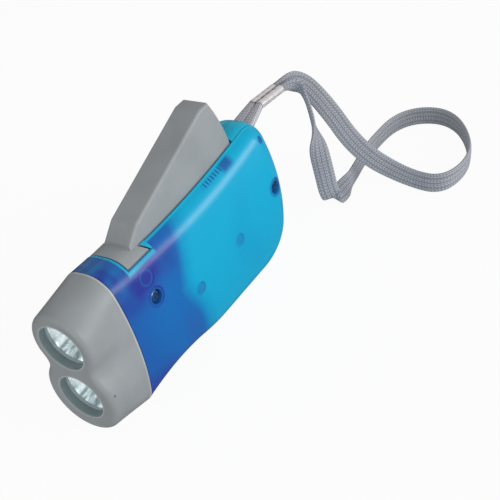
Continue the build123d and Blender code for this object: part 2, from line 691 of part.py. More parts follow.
# ---- lever ----------------------------------------------------------------------
def lever_profile(wall):
    """Side view of the lever's arm, moved in by wall on its top and rear."""
    reach = LEVER_LENGTH - wall
    slope = atan2(LEVER_HEEL[1] - LEVER_KINK[1], LEVER_KINK[0] - LEVER_HEEL[0])
    drop = wall / cos(slope)
    tip = beyond(PIVOT, reach, LEVER_TIP_DEG)
    tip = (tip[0], tip[1] - wall)
    rear_low = beyond(PIVOT, reach, LEVER_DEPTH_DEG)
    rear_mid = beyond(PIVOT, reach, (LEVER_TIP_DEG + LEVER_DEPTH_DEG) / 2)
    heel = (LEVER_HEEL[0], LEVER_HEEL[1] - drop)
    kink = (LEVER_KINK[0] - wall / 2, LEVER_KINK[1] - drop)
    ledge = (LEVER_LEDGE[0] - wall / 2, LEVER_LEDGE[1] - drop)
    outline = make_face([Line(PIVOT, ledge), Line(ledge, kink), Line(kink, heel), Line(heel, tip),
                         ThreePointArc(tip, rear_mid, rear_low), Line(rear_low, PIVOT)])
    bends = [corner for corner in outline.vertices()
             if min(abs(corner.X - kink[0]), abs(corner.X - heel[0])) < 0.01]
    return fillet(bends, LEVER_BEND)


def quadrant():
    """Toothed arc that hangs inside the lever and drives the first pinion."""
    root = QUADRANT_RADIUS - 1.15 * QUADRANT_MODULE
    low, high = QUADRANT_DEG
    band = sector(PIVOT, root, low, high) - Pos(*PIVOT) * Circle(root - QUADRANT_BAND)
    step = 360 / QUADRANT_TEETH
    first, last = TOOTH_RANGE
    teeth = gear_outline(PIVOT, QUADRANT_TEETH, QUADRANT_MODULE, PINION_DEG, first,
                         last - first + 1)
    base = [beyond(PIVOT, root - QUADRANT_BAND / 2, PINION_DEG + step * index)
            for index in range(last, first - 1, -1)]
    comb = make_face(Polyline(*teeth, *base, close=True))
    return slab(band + comb, -QUADRANT_HALF, QUADRANT_HALF)


def lever_hub():
    """Core about the pin, and ears above it that lie flush in the body's form."""
    ears = slab(sector(PIVOT, HUB_RADIUS, 90, 180), -HUB_HALF, HUB_HALF)
    top = PIVOT[1] + 2 * HUB_RADIUS
    ears += block((PIVOT[0], PIVOT[0] + HUB_FRONT), (-HUB_HALF, HUB_HALF), (PIVOT[1], top))
    ears &= Pos(0, 0, -HUB_SINK) * OUTER
    return ears + across(PIVOT, HUB_CORE, -HUB_HALF, HUB_HALF)


def squeeze_lever():
    """Hollow arm, hub with two ears, middle rib and toothed quadrant, in one moulding."""
    arm = slab(lever_profile(0), -LEVER_HALF, LEVER_HALF)
    rims = [edge for edge in arm.edges()
            if abs(abs(edge.center().Y) - LEVER_HALF) < 0.01
            and edge.center().Z > LEVER_KINK[1]
            and edge.center().X < LEVER_KINK[0]]
    arm = fillet(rims, LEVER_EDGE)
    inner = LEVER_HALF - LEVER_WALL
    hollow = slab(lever_profile(LEVER_WALL), -inner, inner)
    arm -= hollow - across(PIVOT, HUB_CORE, -HUB_HALF, HUB_HALF)
    rib = slab(lever_profile(LEVER_WALL / 2) & sector(PIVOT, LEVER_LENGTH, 90, RIB_DEG),
               -RIB_HALF, RIB_HALF)
    below = sector(PIVOT, LEVER_LENGTH, LEVER_DEPTH_DEG - 1, 240)
    kept = lever_profile(LEVER_WALL / 2) + below
    lever = arm + lever_hub() + rib + (quadrant() & slab(kept, -LEVER_HALF, LEVER_HALF))
    groove = (SPRING_Y[0] - GROOVE_GAP, SPRING_Y[1] + GROOVE_GAP)
    lever -= collar(PIVOT, SPRING_RADII[1] + GROOVE_GAP, SPRING_RADII[0] - GROOVE_GAP, *groove)
    lever -= spring_leg(SPRING_LEG_DEG[1], SPRING_WIRE + GROOVE_GAP, 0)
    return lever - across(PIVOT, PIN_RADIUS + RUNNING, -HUB_HALF - 1, HUB_HALF + 1)


def spring_leg(direction, radius, short):
    """A straight leg of the return spring, from its coils outwards."""
    middle_y = sum(SPRING_Y) / 2
    start = beyond(PIVOT, SPRING_RADII[0] + SPRING_WIRE, direction)
    heading = (cos(radians(direction)), 0, sin(radians(direction)))
    frame = Plane((start[0], middle_y, start[1]), z_dir=heading)
    return extrude(frame * Circle(radius), SPRING_LEG - SPRING_RADII[0] - short)


def return_spring():
    """Torsion spring: its coils drawn as one grooved ring, with two legs."""
    low, high = SPRING_Y
    ring = collar(PIVOT, SPRING_RADII[1], SPRING_RADII[0], low, high)
    turns = round((high - low) / (2 * SPRING_WIRE))
    pitch = (high - low) / turns
    for index in range(1, turns):
        y = low + index * pitch
        ring -= collar(PIVOT, SPRING_RADII[1] + 1, SPRING_RADII[1] - SPRING_WIRE / 2,
                       y - SPRING_WIRE / 4, y + SPRING_WIRE / 4)
    return (ring + spring_leg(SPRING_LEG_DEG[0], SPRING_WIRE, 0)
            + spring_leg(SPRING_LEG_DEG[1], SPRING_WIRE, GROOVE_GAP))


# ---- gear train -----------------------------------------------------------------
def first_pinion():
    """Pinion and hub that turn on the first axle."""
    phase = PINION_DEG - 180 + 180 / FIRST_PINION_TEETH
    piece = gear(FIRST_AXLE, FIRST_PINION_TEETH, QUADRANT_MODULE, phase,
                 (-FIRST_PINION_HALF, FIRST_PINION_HALF), AXLE_RADIUS + RUNNING)
    bore = AXLE_RADIUS + RUNNING
    piece += collar(FIRST_AXLE, FIRST_HUB, bore, FIRST_PINION_HALF, FIRST_GEAR_Y[0])
    return piece + collar(FIRST_AXLE, SECOND_HUB, bore, *FIRST_GEAR_Y)


def first_gear():
    """Large gear pressed on the first pinion's hub."""
    wheel = gear(FIRST_AXLE, FIRST_GEAR_TEETH, FINE_MODULE, SECOND_DEG, FIRST_GEAR_Y, SECOND_HUB)
    for index in range(LIGHTENING_HOLES):
        hole = beyond(FIRST_AXLE, LIGHTENING_AT, index * 360 / LIGHTENING_HOLES)
        wheel -= across(hole, LIGHTENING_RADIUS, FIRST_GEAR_Y[0] - 1, FIRST_GEAR_Y[1] + 1)
    return wheel


def second_pinion():
    """Pinion and hub that turn on the second axle."""
    phase = SECOND_DEG + 180 + 180 / SECOND_PINION_TEETH
    bore = AXLE_RADIUS + RUNNING
    piece = gear(SECOND_AXLE, SECOND_PINION_TEETH, FINE_MODULE, phase, SECOND_PINION_Y, bore)
    piece += collar(SECOND_AXLE, SECOND_HUB, bore, SECOND_GEAR_Y[1], SECOND_PINION_Y[0])
    return piece + collar(SECOND_AXLE, (SECOND_HUB + bore) / 2, bore, *SECOND_GEAR_Y)


def second_gear():
    """Gear pressed on the second pinion's hub."""
    bore = (SECOND_HUB + AXLE_RADIUS + RUNNING) / 2
    return gear(SECOND_AXLE, SECOND_GEAR_TEETH, FINE_MODULE, ROTOR_DEG, SECOND_GEAR_Y, bore)


def rotor_pinion():
    """Smallest pinion, pressed on the rotor's shaft."""
    phase = ROTOR_DEG + 180 + 180 / ROTOR_PINION_TEETH
    return gear(ROTOR_AXLE, ROTOR_PINION_TEETH, FINE_MODULE, phase, ROTOR_PINION_Y, SHAFT_RADIUS)


def axle(centre):
    """Plain axle held in both shells."""
    return across(centre, AXLE_RADIUS, -AXLE_HALF, AXLE_HALF)


# ---- generator ------------------------------------------------------------------
def flywheel():
    """Cup that carries the magnet, open towards -Y."""
    web = FLYWHEEL_Y[1] - FLYWHEEL_WEB
    cup = collar(ROTOR_AXLE, FLYWHEEL_RADIUS, MAGNET_RADIUS, FLYWHEEL_Y[0], web)
    return cup + collar(ROTOR_AXLE, FLYWHEEL_RADIUS, SHAFT_RADIUS, web, FLYWHEEL_Y[1])


def ring_magnet():
    """Magnet ring inside the cup."""
    return collar(ROTOR_AXLE, MAGNET_RADIUS, MAGNET_BORE, FLYWHEEL_Y[0],
                  FLYWHEEL_Y[1] - FLYWHEEL_WEB)


def stator_core():
    """Two slotted pole plates on a tube that is also the rotor's bearing."""
    bore = SHAFT_RADIUS + RUNNING
    core = collar(ROTOR_AXLE, STATOR_TUBE, bore, *STATOR_Y)
    for low in (STATOR_Y[0], STATOR_Y[1] - STATOR_PLATE):
        plate = collar(ROTOR_AXLE, STATOR_RADIUS, bore, low, low + STATOR_PLATE)
        for index in range(POLES):
            turned = Pos(*ROTOR_AXLE) * Rot(0, 0, index * 360 / POLES)
            notch = turned * Pos(STATOR_RADIUS, 0) * Rectangle(2 * POLE_SLOT[1], POLE_SLOT[0])
            plate -= slab(notch, low - 1, low + STATOR_PLATE + 1)
        core += plate
    return core


def coil_bobbin():
    """Spool between the pole plates."""
    low = STATOR_Y[0] + STATOR_PLATE
    high = STATOR_Y[1] - STATOR_PLATE
    spool = collar(ROTOR_AXLE, STATOR_TUBE + BOBBIN_WALL, STATOR_TUBE, low, high)
    for flange in (low, high - BOBBIN_WALL):
        spool += collar(ROTOR_AXLE, BOBBIN_RADIUS, STATOR_TUBE, flange, flange + BOBBIN_WALL)
    return spool


def coil_winding():
    """Copper winding on the spool."""
    return collar(ROTOR_AXLE, COIL_RADIUS, STATOR_TUBE + BOBBIN_WALL,
                  STATOR_Y[0] + STATOR_PLATE + BOBBIN_WALL,
                  STATOR_Y[1] - STATOR_PLATE - BOBBIN_WALL)


# ---- strap ----------------------------------------------------------------------
def ferrule_frame():
    """Plane at the ferrule's start, its normal along the ferrule, its x along +Y."""
    heading = (FERRULE_END[0] - FERRULE_START[0], 0, FERRULE_END[1] - FERRULE_START[1])
    return Plane((FERRULE_START[0], 0, FERRULE_START[1]), x_dir=(0, 1, 0), z_dir=heading)


def ferrule_section(inset):
    """Two lobes side by side with the valley between them half filled."""
    lobes = Rectangle(2 * FERRULE_Y, 1.3 * (FERRULE_LOBE - inset))
    for side in (1, -1):
        lobes += Pos(side * FERRULE_Y, 0) * Circle(FERRULE_LOBE - inset)
    return lobes


def strap_ferrule():
    """Crimped sleeve round the strap's two strands."""
    length = sqrt((FERRULE_END[0] - FERRULE_START[0]) ** 2
                  + (FERRULE_END[1] - FERRULE_START[1]) ** 2)
    frame = ferrule_frame()
    sleeve = extrude(frame * ferrule_section(0), length)
    for index in range(CRIMP_COUNT):
        start = (index + 1) * length / (CRIMP_COUNT + 1) - CRIMP[0] / 2
        groove = ferrule_section(-1) - ferrule_section(CRIMP[1])
        sleeve -= extrude(frame * Pos(0, 0, start) * groove, CRIMP[0])
    return sleeve


def strap_tail():
    """Doubled braid from its eye round the bar to the ferrule."""
    length = sqrt((STRAP_BAR[0] - FERRULE_START[0]) ** 2
                  + (STRAP_BAR[1] - FERRULE_START[1]) ** 2) + STRAP_THICK
    near, far = TAIL_HALF
    plan = make_face(Polyline((0, -near), (length, -far), (length, far), (0, near), close=True))
    tail = tail_frame() * Pos(0, 0, -STRAP_THICK) * extrude(plan, 2 * STRAP_THICK)
    tail += across(STRAP_BAR, STRAP_BAR_RADIUS + STRAP_THICK, -near, near)
    tail -= across(STRAP_BAR, STRAP_BAR_RADIUS, -near - 1, near + 1)
    return tail - extrude(ferrule_frame() * Rectangle(4 * near, 4 * near), 2 * length)


def strap_loop():
    """The loop of cord, from one side of the ferrule round to the other."""
    points = [Vector(*point) for point in CORD_ROUTE]
    heading = ferrule_frame().z_dir
    ferrule_side = Plane(Vector(FERRULE_END[0], 0, FERRULE_END[1]), z_dir=-heading)
    for end, neighbour in ((0, 1), (-1, -2)):
        points[end] += (points[end] - points[neighbour]).normalized() * CORD_DIAMETER / 4
    radii = []
    for before, here, after in zip(points, points[1:], points[2:]):
        turn = radians((here - before).get_angle(after - here))
        shorter = min((here - before).length, (after - here).length)
        radii.append(round(0.45 * shorter / tan(turn / 2), 2))
    print("cord radii", radii)
    route = FilletPolyline(*points, radius=radii)
    print("cord length", round(route.length, 1))
    loop = sweep(Plane(route @ 0, z_dir=route % 0) * Circle(CORD_DIAMETER / 2), path=route)
    return loop - extrude(ferrule_side * Rectangle(4 * CORD_DIAMETER, 4 * CORD_DIAMETER),
                          CORD_DIAMETER)


PIECES = {
    "shell_right": lambda: shell(1),
    "shell_left": lambda: shell(-1),
    "shell_screws": shell_screws,
    "head_bezel": head_bezel,
    "lens_upper": lambda: lens(LAMPS_Z[0]),
    "lens_lower": lambda: lens(LAMPS_Z[1]),
    "reflector_upper": lambda: reflector(LAMPS_Z[0]),
    "reflector_lower": lambda: reflector(LAMPS_Z[1]),
    "led_upper": lambda: led(LAMPS_Z[0]),
    "led_lower": lambda: led(LAMPS_Z[1]),
    "circuit_board": circuit_board,
    "rectifier_diodes": rectifier_diodes,
    "button_cells": button_cells,
    "battery_cradle": battery_cradle,
    "contact_plus": lambda: contact(CELL_TOP),
    "contact_minus": lambda: contact(CELL_Z - CONTACT_THICK),
    "switch_body": switch_body,
    "switch_slider": switch_slider,
    "lead_red": lambda: lead(SWITCH_LEGS_X[2], LEADS_Y[0]),
    "lead_black": lambda: lead(SWITCH_LEGS_X[0], LEADS_Y[1]),
    "lever_pin": lambda: across(PIVOT, PIN_RADIUS, -PIN_HALF, PIN_HALF),
    "squeeze_lever": squeeze_lever,
    "return_spring": return_spring,
    "first_axle": lambda: axle(FIRST_AXLE),
    "first_pinion": first_pinion,
    "first_gear": first_gear,
    "second_axle": lambda: axle(SECOND_AXLE),
    "second_pinion": second_pinion,
    "second_gear": second_gear,
    "rotor_shaft": lambda: across(ROTOR_AXLE, SHAFT_RADIUS, *SHAFT_Y),
    "rotor_pinion": rotor_pinion,
    "flywheel": flywheel,
    "ring_magnet": ring_magnet,
    "stator_core": stator_core,
    "coil_bobbin": coil_bobbin,
    "coil_winding": coil_winding,
    "strap_bar": lambda: across(STRAP_BAR, STRAP_BAR_RADIUS, -STRAP_BAR_HALF, STRAP_BAR_HALF),
    "strap_tail": strap_tail,
    "strap_ferrule": strap_ferrule,
    "strap_loop": strap_loop,
}

os.makedirs("parts", exist_ok=True)
for name, make in PIECES.items():
    piece = Pos(ORIGIN_SHIFT, 0, 0) * make()
    print(name, round(piece.volume, 1))
    export_step(piece, f"parts/{name}.step")
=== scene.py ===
"""Studio scene of the squeeze-lever torch: finishes, braided wrist strap, lamps, lights and camera.

All places are in the row's frame, in metres: +X the way the lamps shine, +Z up, z = 0 the table.
"""

import logging
import math
from dataclasses import dataclass
from enum import Enum
from typing import Callable, Optional, Sequence, Union

import bmesh
import bpy
from mathutils import Matrix, Vector

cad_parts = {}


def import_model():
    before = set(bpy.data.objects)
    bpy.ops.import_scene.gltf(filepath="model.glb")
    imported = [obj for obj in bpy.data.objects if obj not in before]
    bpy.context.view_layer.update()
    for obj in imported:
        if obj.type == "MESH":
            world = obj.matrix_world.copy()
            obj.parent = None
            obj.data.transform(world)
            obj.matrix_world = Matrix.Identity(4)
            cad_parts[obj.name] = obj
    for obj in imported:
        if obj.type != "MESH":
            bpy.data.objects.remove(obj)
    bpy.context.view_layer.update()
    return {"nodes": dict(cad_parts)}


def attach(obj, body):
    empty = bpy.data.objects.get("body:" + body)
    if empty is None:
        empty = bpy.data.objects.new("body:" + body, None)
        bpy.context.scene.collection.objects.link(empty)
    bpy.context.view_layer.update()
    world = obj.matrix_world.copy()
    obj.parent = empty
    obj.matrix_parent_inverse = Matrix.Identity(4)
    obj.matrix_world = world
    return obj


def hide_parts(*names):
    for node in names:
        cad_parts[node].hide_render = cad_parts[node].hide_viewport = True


log = logging.getLogger("torch")
MM = 0.001
LAMP_HEIGHTS = {"upper": 38.5 * MM, "lower": 18.5 * MM}
Value = Union[float, "Num"]
Point = tuple[float, float, float]
Material = bpy.types.Material
Nodes = dict[str, bpy.types.Object]
Object = bpy.types.Object
Socket = bpy.types.NodeSocket


class Side(Enum):
    """The two faces of the body, named by their direction along Y."""

    SCREWS = 1
    SWITCH = -1


# ---- shader helpers ----
class Num:
    """A number from a socket, on which Python's operators add Math nodes."""

    def __init__(self, graph: "Graph", socket: Socket) -> None:
        """Wraps a socket of a graph."""
        self.graph = graph
        self.socket = socket

    def math(self, operation: str, *others: Value, clamp: bool = False,
             first: Optional[Value] = None) -> "Num":
        """Adds one Math node.

        Args:
            operation: the node's operation.
            others: values after the first.
            clamp: whether the result is kept within 0 and 1.
            first: the value in the first socket, if it isn't this one.

        Returns:
            The node's result.
        """
        values = (self if first is None else first, *others)
        settings = {"operation": operation, "use_clamp": clamp}
        return self.graph.number("Math", settings, dict(enumerate(values)))

    def __add__(self, other: Value) -> "Num":
        """self + other."""
        return self.math("ADD", other)

    __radd__ = __add__

    def __sub__(self, other: Value) -> "Num":
        """self - other."""
        return self.math("SUBTRACT", other)

    def __rsub__(self, other: Value) -> "Num":
        """other - self."""
        return self.math("SUBTRACT", self, first=other)

    def __mul__(self, other: Value) -> "Num":
        """self * other."""
        return self.math("MULTIPLY", other)

    def __truediv__(self, other: Value) -> "Num":
        """self / other."""
        return self.math("DIVIDE", other)

    def __pow__(self, other: Value) -> "Num":
        """self ** other."""
        return self.math("POWER", other)

    def __abs__(self) -> "Num":
        """abs(self)."""
        return self.math("ABSOLUTE")

    def rises(self, low: float, high: float) -> "Num":
        """0 below low, 1 above high, smooth between them."""
        values = {"Value": self, "From Min": low, "From Max": high}
        return self.graph.number("MapRange", {"interpolation_type": "SMOOTHSTEP"}, values)

    def falls(self, low: float, high: float) -> "Num":
        """1 below low, 0 above high, smooth between them."""
        return 1 - self.rises(low, high)

    def band(self, middle: float, half: float, soft: float) -> "Num":
        """1 within half of middle, 0 further than soft beyond that."""
        return abs(self - middle).falls(half, half + soft)

    def clamped(self) -> "Num":
        """self kept within 0 and 1."""
        return self.math("ADD", 0.0, clamp=True)

    def hypot(self, other: "Num") -> "Num":
        """The distance over self one way and other square to it."""
        return (self * self + other * other) ** 0.5


def add_node(tree: bpy.types.NodeTree, kind: str, settings: dict, inputs: dict,
             output: Union[int, str] = 0) -> Socket:
    """Adds one node to a tree.

    Args:
        tree: the material's or the geometry's tree.
        kind: the node's type.
        settings: its attributes, and "stops" for a colour ramp.
        inputs: values, numbers, or sockets to link, by socket name or index.
        output: the output wanted.

    Returns:
        That output socket.
    """
    made = tree.nodes.new(kind)
    for key, value in settings.items():
        if key == "stops":
            set_stops(made.color_ramp, value)
        else:
            setattr(made, key, value)
    for key, value in inputs.items():
        if isinstance(value, Num):
            value = value.socket
        if isinstance(value, Socket):
            tree.links.new(value, made.inputs[key])
        else:
            made.inputs[key].default_value = value
    return made.outputs[output]


def set_stops(ramp: bpy.types.ColorRamp, stops: Sequence[tuple[float, Point]]) -> None:
    """Gives a ramp its stops.

    Args:
        ramp: the ramp.
        stops: each stop's place and colour.
    """
    while len(ramp.elements) < len(stops):
        ramp.elements.new(1.0)
    for element, (place, colour) in zip(ramp.elements, stops):
        element.position = place
        element.color = (*colour, 1.0)


class Graph:
    """The node tree of one material."""

    def __init__(self, name: str) -> None:
        """Starts an empty material.

        Args:
            name: its name.
        """
        self.material = bpy.data.materials.new(name)
        self.material.use_nodes = True
        self.tree = self.material.node_tree
        self.tree.nodes.clear()
        self.place: dict[str, Num] = {}

    def node(self, kind: str, settings: dict, inputs: dict, output: Union[int, str] = 0) -> Socket:
        """Adds one node, as add_node does, of a kind named without its ShaderNode."""
        return add_node(self.tree, "ShaderNode" + kind, settings, inputs, output)

    def number(self, kind: str, settings: dict, inputs: dict, output: Union[int, str] = 0) -> Num:
        """Adds a node and wraps its output as a number."""
        return Num(self, self.node(kind, settings, inputs, output))

    def coordinates(self) -> tuple[Num, Num, Num]:
        """Splits the point's place in the row's frame.

        Returns:
            Its x, y and z.
        """
        if not self.place:
            vector = self.node("TexCoord", {}, {}, "Object")
            for index, axis in enumerate("xyz"):
                self.place[axis] = self.number("SeparateXYZ", {}, {0: vector}, index)
        return self.place["x"], self.place["y"], self.place["z"]

    def noise(self, scale: float, detail: float = 2.0, vector: Optional[Socket] = None) -> Num:
        """Noise from 0 to 1, with scale in waves per metre, over the point's place or a vector."""
        vector = vector or self.node("TexCoord", {}, {}, "Object")
        return self.number("TexNoise", {}, {"Vector": vector, "Scale": scale, "Detail": detail})

    def mix(self, mask: Value, first: object, second: object) -> Socket:
        """A colour that goes from first to second as mask goes from 0 to 1."""
        inputs = {0: mask, 6: _colour(first), 7: _colour(second)}
        return self.node("Mix", {"data_type": "RGBA"}, inputs, 2)

    def bump(self, height: Num, distance: float, strength: float) -> Socket:
        """A normal from a height."""
        inputs = {"Height": height, "Distance": distance, "Strength": strength}
        return self.node("Bump", {}, inputs)

    def surface(self, **sockets: object) -> Material:
        """Ends the tree in a Principled shader.

        Args:
            sockets: values or links of its sockets, with _ for a space in a name.

        Returns:
            The finished material.
        """
        inputs = {key.replace("_", " "): value for key, value in sockets.items()}
        shader = self.node("BsdfPrincipled", {}, inputs)
        self.node_output(shader)
        return self.material

    def node_output(self, shader: Socket) -> None:
        """Links a shader to the material's output."""
        made = self.tree.nodes.new("ShaderNodeOutputMaterial")
        self.tree.links.new(shader, made.inputs["Surface"])


def _colour(value: object) -> object:
    """A link as it is, or three numbers with an alpha of 1."""
    return value if isinstance(value, (Socket, Num)) else (*value, 1.0)


# ---- finishes ----
@dataclass(frozen=True)
class BossMark:
    """A boss, pin or hole that shows through the tinted wall, about a Y axis."""

    x: float
    z: float
    radius: float
    depth: float
    halo: float = 0.5


@dataclass(frozen=True)
class TintedShell:
    """Translucent blue plastic of the body, deeper where dark parts lie behind it, with painted
    light and shade.
    """

    name: str
    side: Side
    rear: Point = (0.0, 0.43, 0.70)
    middle: Point = (0.0, 0.33, 0.63)
    front: Point = (0.006, 0.155, 0.50)
    deep: Point = (0.018, 0.040, 0.33)
    plum: Point = (0.055, 0.030, 0.34)
    # colour of the painted light on the slot's rim
    lit_lip: Point = (0.01, 0.55, 0.80)
    line: Point = (0.0, 0.02, 0.14)
    lean: float = 0.386
    lean_height: float = 38.0 * MM
    foot_height: float = 30.0 * MM
    foot_lean: float = 0.6
    slot_halves: tuple[float, float] = (5.61 * MM, 8.35 * MM)
    slot_step: tuple[float, float] = (14.2 * MM, 14.4 * MM)
    slot_front: float = 26.5 * MM
    shoulder: tuple[float, float] = (45.5 * MM, 47.5 * MM)
    comb_pitch: float = 1.45 * MM
    tongue_line: float = -1.15 * MM
    head_seam: tuple[float, float] = (35.2 * MM, 35.45 * MM)
    marks: tuple[BossMark, ...] = (
        BossMark(22.6 * MM, 43.5 * MM, 3.3 * MM, 0.65, 1.0),
        BossMark(22.1 * MM, 36.0 * MM, 3.4 * MM, 0.55),
        BossMark(-19.8 * MM, 26.4 * MM, 2.2 * MM, 0.30),
        BossMark(3.8 * MM, 24.6 * MM, 2.2 * MM, 0.36),
        BossMark(-44.4 * MM, 30.8 * MM, 3.3 * MM, 0.55, 0.8),
        BossMark(-45.9 * MM, 48.4 * MM, 1.1 * MM, 0.75, 0.5),
    )

    def make(self) -> Material:
        """Builds the material.

        Returns:
            The material.
        """
        graph = Graph(self.name)
        depth = self._depth(graph)
        colour = self._tint(graph, depth)
        colour = self._shadows(graph, colour, depth)
        for mark in self.marks:
            colour = self._boss(graph, colour, mark)
        colour = self._edges(graph, colour)
        rough = 0.30 + graph.noise(900.0, 2.0) * 0.08
        ripple = graph.bump(graph.noise(90.0, 1.0), 0.00015, 0.5)
        opacity = 0.94 + depth.rises(0.0, 0.02) * 0.03
        return graph.surface(Base_Color=colour, Roughness=rough, Alpha=opacity, IOR=1.33,
                             Coat_Weight=0.17, Coat_Roughness=0.24, Normal=ripple)

    def _depth(self, graph: Graph) -> Num:
        """How far forward of the wheels' edge a point lies, along the leaning boundary.

        Args:
            graph: the material's nodes.

        Returns:
            The depth in metres.
        """
        x, _, z = graph.coordinates()
        drift = (graph.noise(45.0, 1.0) - 0.5) * 0.012
        below = (self.foot_height - z).math("MAXIMUM", 0.0)
        return x + (z - self.lean_height) * self.lean + drift + below * self.foot_lean

    def _tint(self, graph: Graph, depth: Num) -> Socket:
        """The colour along the body, with deep pools round the hub and by the head, and painted
        light on top.

        Args:
            graph: the material's nodes.
            depth: as _depth gives it.

        Returns:
            The colour.
        """
        _, _, z = graph.coordinates()
        place = depth.rises(-0.024, 0.040)
        stops = ((0.0, self.rear), (0.30, self.rear), (0.41, self.middle),
                 (0.51, self.front), (1.0, self.front))
        colour = graph.node("ValToRGB", {"stops": stops}, {"Fac": place})
        cloud = graph.noise(42.0, 1.5).rises(0.40, 0.62)
        patches = graph.noise(120.0, 1.5).rises(0.35, 0.65)
        # painted light: the top over the hub keeps its lighter colour
        lit = z.rises(*self.shoulder) * depth.falls(0.021, 0.024) * 0.8
        hub = depth.rises(0.004, 0.014) * z.rises(0.034, 0.045) * (0.55 + patches * 0.4)
        hub = hub * (1 - lit)
        neck = depth.rises(0.016, 0.030) * (0.30 + cloud * 0.5)
        colour = graph.mix((hub + neck).clamped(), colour, self.deep)
        # painted highlight: paler patches, broken up by noise, on the top of the front
        highlight_patches = depth.rises(0.020, 0.030) * (1 - patches) * z.rises(0.040, 0.050) * 0.45
        colour = graph.mix(highlight_patches, colour, self.middle)
        return graph.mix(depth.rises(0.006, 0.02) * cloud * 0.40, colour, self.plum)

    def _shadows(self, graph: Graph, colour: Socket, depth: Num) -> Socket:
        """Painted shade: soft dark parts behind the wall, and the comb of ribs under the slot's
        rear in shadow.

        Args:
            graph: the material's nodes.
            colour: the colour so far.
            depth: as _depth gives it.

        Returns:
            The darkened colour.
        """
        x, y, z = graph.coordinates()
        # painted shade: a soft darker band behind the wall
        cells = depth.band(-0.0262, 0.0015, 0.007) * z.rises(0.006, 0.016) * z.falls(0.038, 0.046)
        colour = graph.mix(cells * 0.30, colour, self.middle)
        comb = (x / self.comb_pitch).math("FRACT").rises(0.45, 0.6)
        comb = comb * x.band(-20.5 * MM, 5.0 * MM, 1.0 * MM)
        # painted shadow: the comb's teeth and the dark block at the slot's rear, on the top only
        teeth_shadow = abs(y).band(7.6 * MM, 0.5 * MM, 0.5 * MM) * comb
        end_shadow = abs(y).band(7.9 * MM, 0.7 * MM, 1.4 * MM) * x.band(-28.2 * MM, 1.2 * MM, 3.0 * MM)
        upper = z.rises(0.046, 0.048)
        return graph.mix(((teeth_shadow + end_shadow) * upper).clamped() * 0.75, colour, self.deep)

    def _boss(self, graph: Graph, colour: Socket, mark: BossMark) -> Socket:
        """One round boss, pin or screw: a dark disc, with painted shade at its rear and a painted
        highlight ring.

        Args:
            graph: the material's nodes.
            colour: the colour so far.
            mark: what shows.

        Returns:
            The colour with the mark.
        """
        x, _, z = graph.coordinates()
        across = x - mark.x
        distance = across.hypot(z - mark.z)
        disc = distance.falls(mark.radius - 0.5 * MM, mark.radius + mark.halo * MM) * mark.depth
        # painted highlight: the lighter ring inside the disc's edge
        ring = distance.band(mark.radius * 0.72, 0.15 * MM, 0.35 * MM) * 0.18
        # painted shade: a dark crescent on the rear side of the boss
        rear = (0 - across).rises(-0.3 * mark.radius, 0.7 * mark.radius)
        shaded_crescent = distance.band(mark.radius * 0.92, 0.15 * MM, 0.4 * MM) * rear * mark.depth
        colour = graph.mix((disc + shaded_crescent).clamped(), colour, self.deep)
        return graph.mix(ring, colour, self.middle)

    def _edges(self, graph: Graph, colour: Socket) -> Socket:
        """Painted light on the rim of the lever's slot, with its thin outline, parting lines and
        head seam.

        Args:
            graph: the material's nodes.
            colour: the colour so far.

        Returns:
            The finished colour.
        """
        x, y, z = graph.coordinates()
        narrow, wide = self.slot_halves
        half = narrow + x.rises(*self.slot_step) * (wide - narrow)
        past = (abs(y) - half).math("MAXIMUM", x - self.slot_front)
        top = z.rises(*self.shoulder)
        # painted light: the slot's rim on the top is lighter
        colour = graph.mix(past.falls(0.6 * MM, 1.3 * MM) * top * 0.75, colour, self.lit_lip)
        parting = abs(y).falls(0.05 * MM, 0.16 * MM)
        lines = past.band(0.15 * MM, 0.07 * MM, 0.06 * MM) * top + parting
        if self.side is Side.SWITCH:
            lines = lines + y.band(self.tongue_line, 0.05 * MM, 0.12 * MM) * z.rises(0.03, 0.032)
        lines = (lines + x.rises(*self.head_seam)).clamped() * 0.85
        return graph.mix(lines, colour, self.line)


@dataclass(frozen=True)
class SatinPlastic:
    """Moulded plastic with a fine texture and faint handling wear."""

    name: str
    colour: Point
    roughness: float = 0.42
    grain: float = 0.03 * MM
    wear: float = 0.10
    polish: float = 0.12

    def make(self, shade: Optional[Callable[[Graph, Socket], Socket]] = None) -> Material:
        """Builds the material.

        Args:
            shade: changes the colour further, given the graph and the colour.

        Returns:
            The material.
        """
        graph = Graph(self.name)
        cloud = graph.noise(70.0, 3.0).rises(0.35, 0.7)
        darker = tuple(channel * (1 - self.wear) for channel in self.colour)
        colour = graph.mix(cloud, self.colour, darker)
        if shade:
            colour = shade(graph, colour)
        fine = graph.bump(graph.noise(2600.0, 2.0), self.grain, 0.6)
        rough = self.roughness + (graph.noise(240.0, 2.0) - 0.5) * self.polish
        return graph.surface(Base_Color=colour, Roughness=rough, Normal=fine)


@dataclass(frozen=True)
class TurnedMetal:
    """Bright or plated metal with fine lines along one axis and a few stains."""

    name: str
    colour: Point
    roughness: float = 0.25
    lines: float = 0.25
    relief: float = 0.01 * MM
    drawn: Point = (120.0, 5200.0, 5200.0)

    def make(self) -> Material:
        """Builds the material.

        Returns:
            The material.
        """
        graph = Graph(self.name)
        place = graph.node("TexCoord", {}, {}, "Object")
        drawn = graph.node("Mapping", {}, {"Vector": place, "Scale": self.drawn})
        streak = graph.noise(1.0, 2.0, drawn)
        stain = graph.noise(300.0, 3.0).rises(0.5, 0.75)
        dull = tuple(channel * 0.8 for channel in self.colour)
        return graph.surface(
            Base_Color=graph.mix(stain * 0.5, self.colour, dull), Metallic=1.0,
            Roughness=self.roughness + (streak - 0.5) * self.lines,
            Normal=graph.bump(streak, self.relief, 0.4))


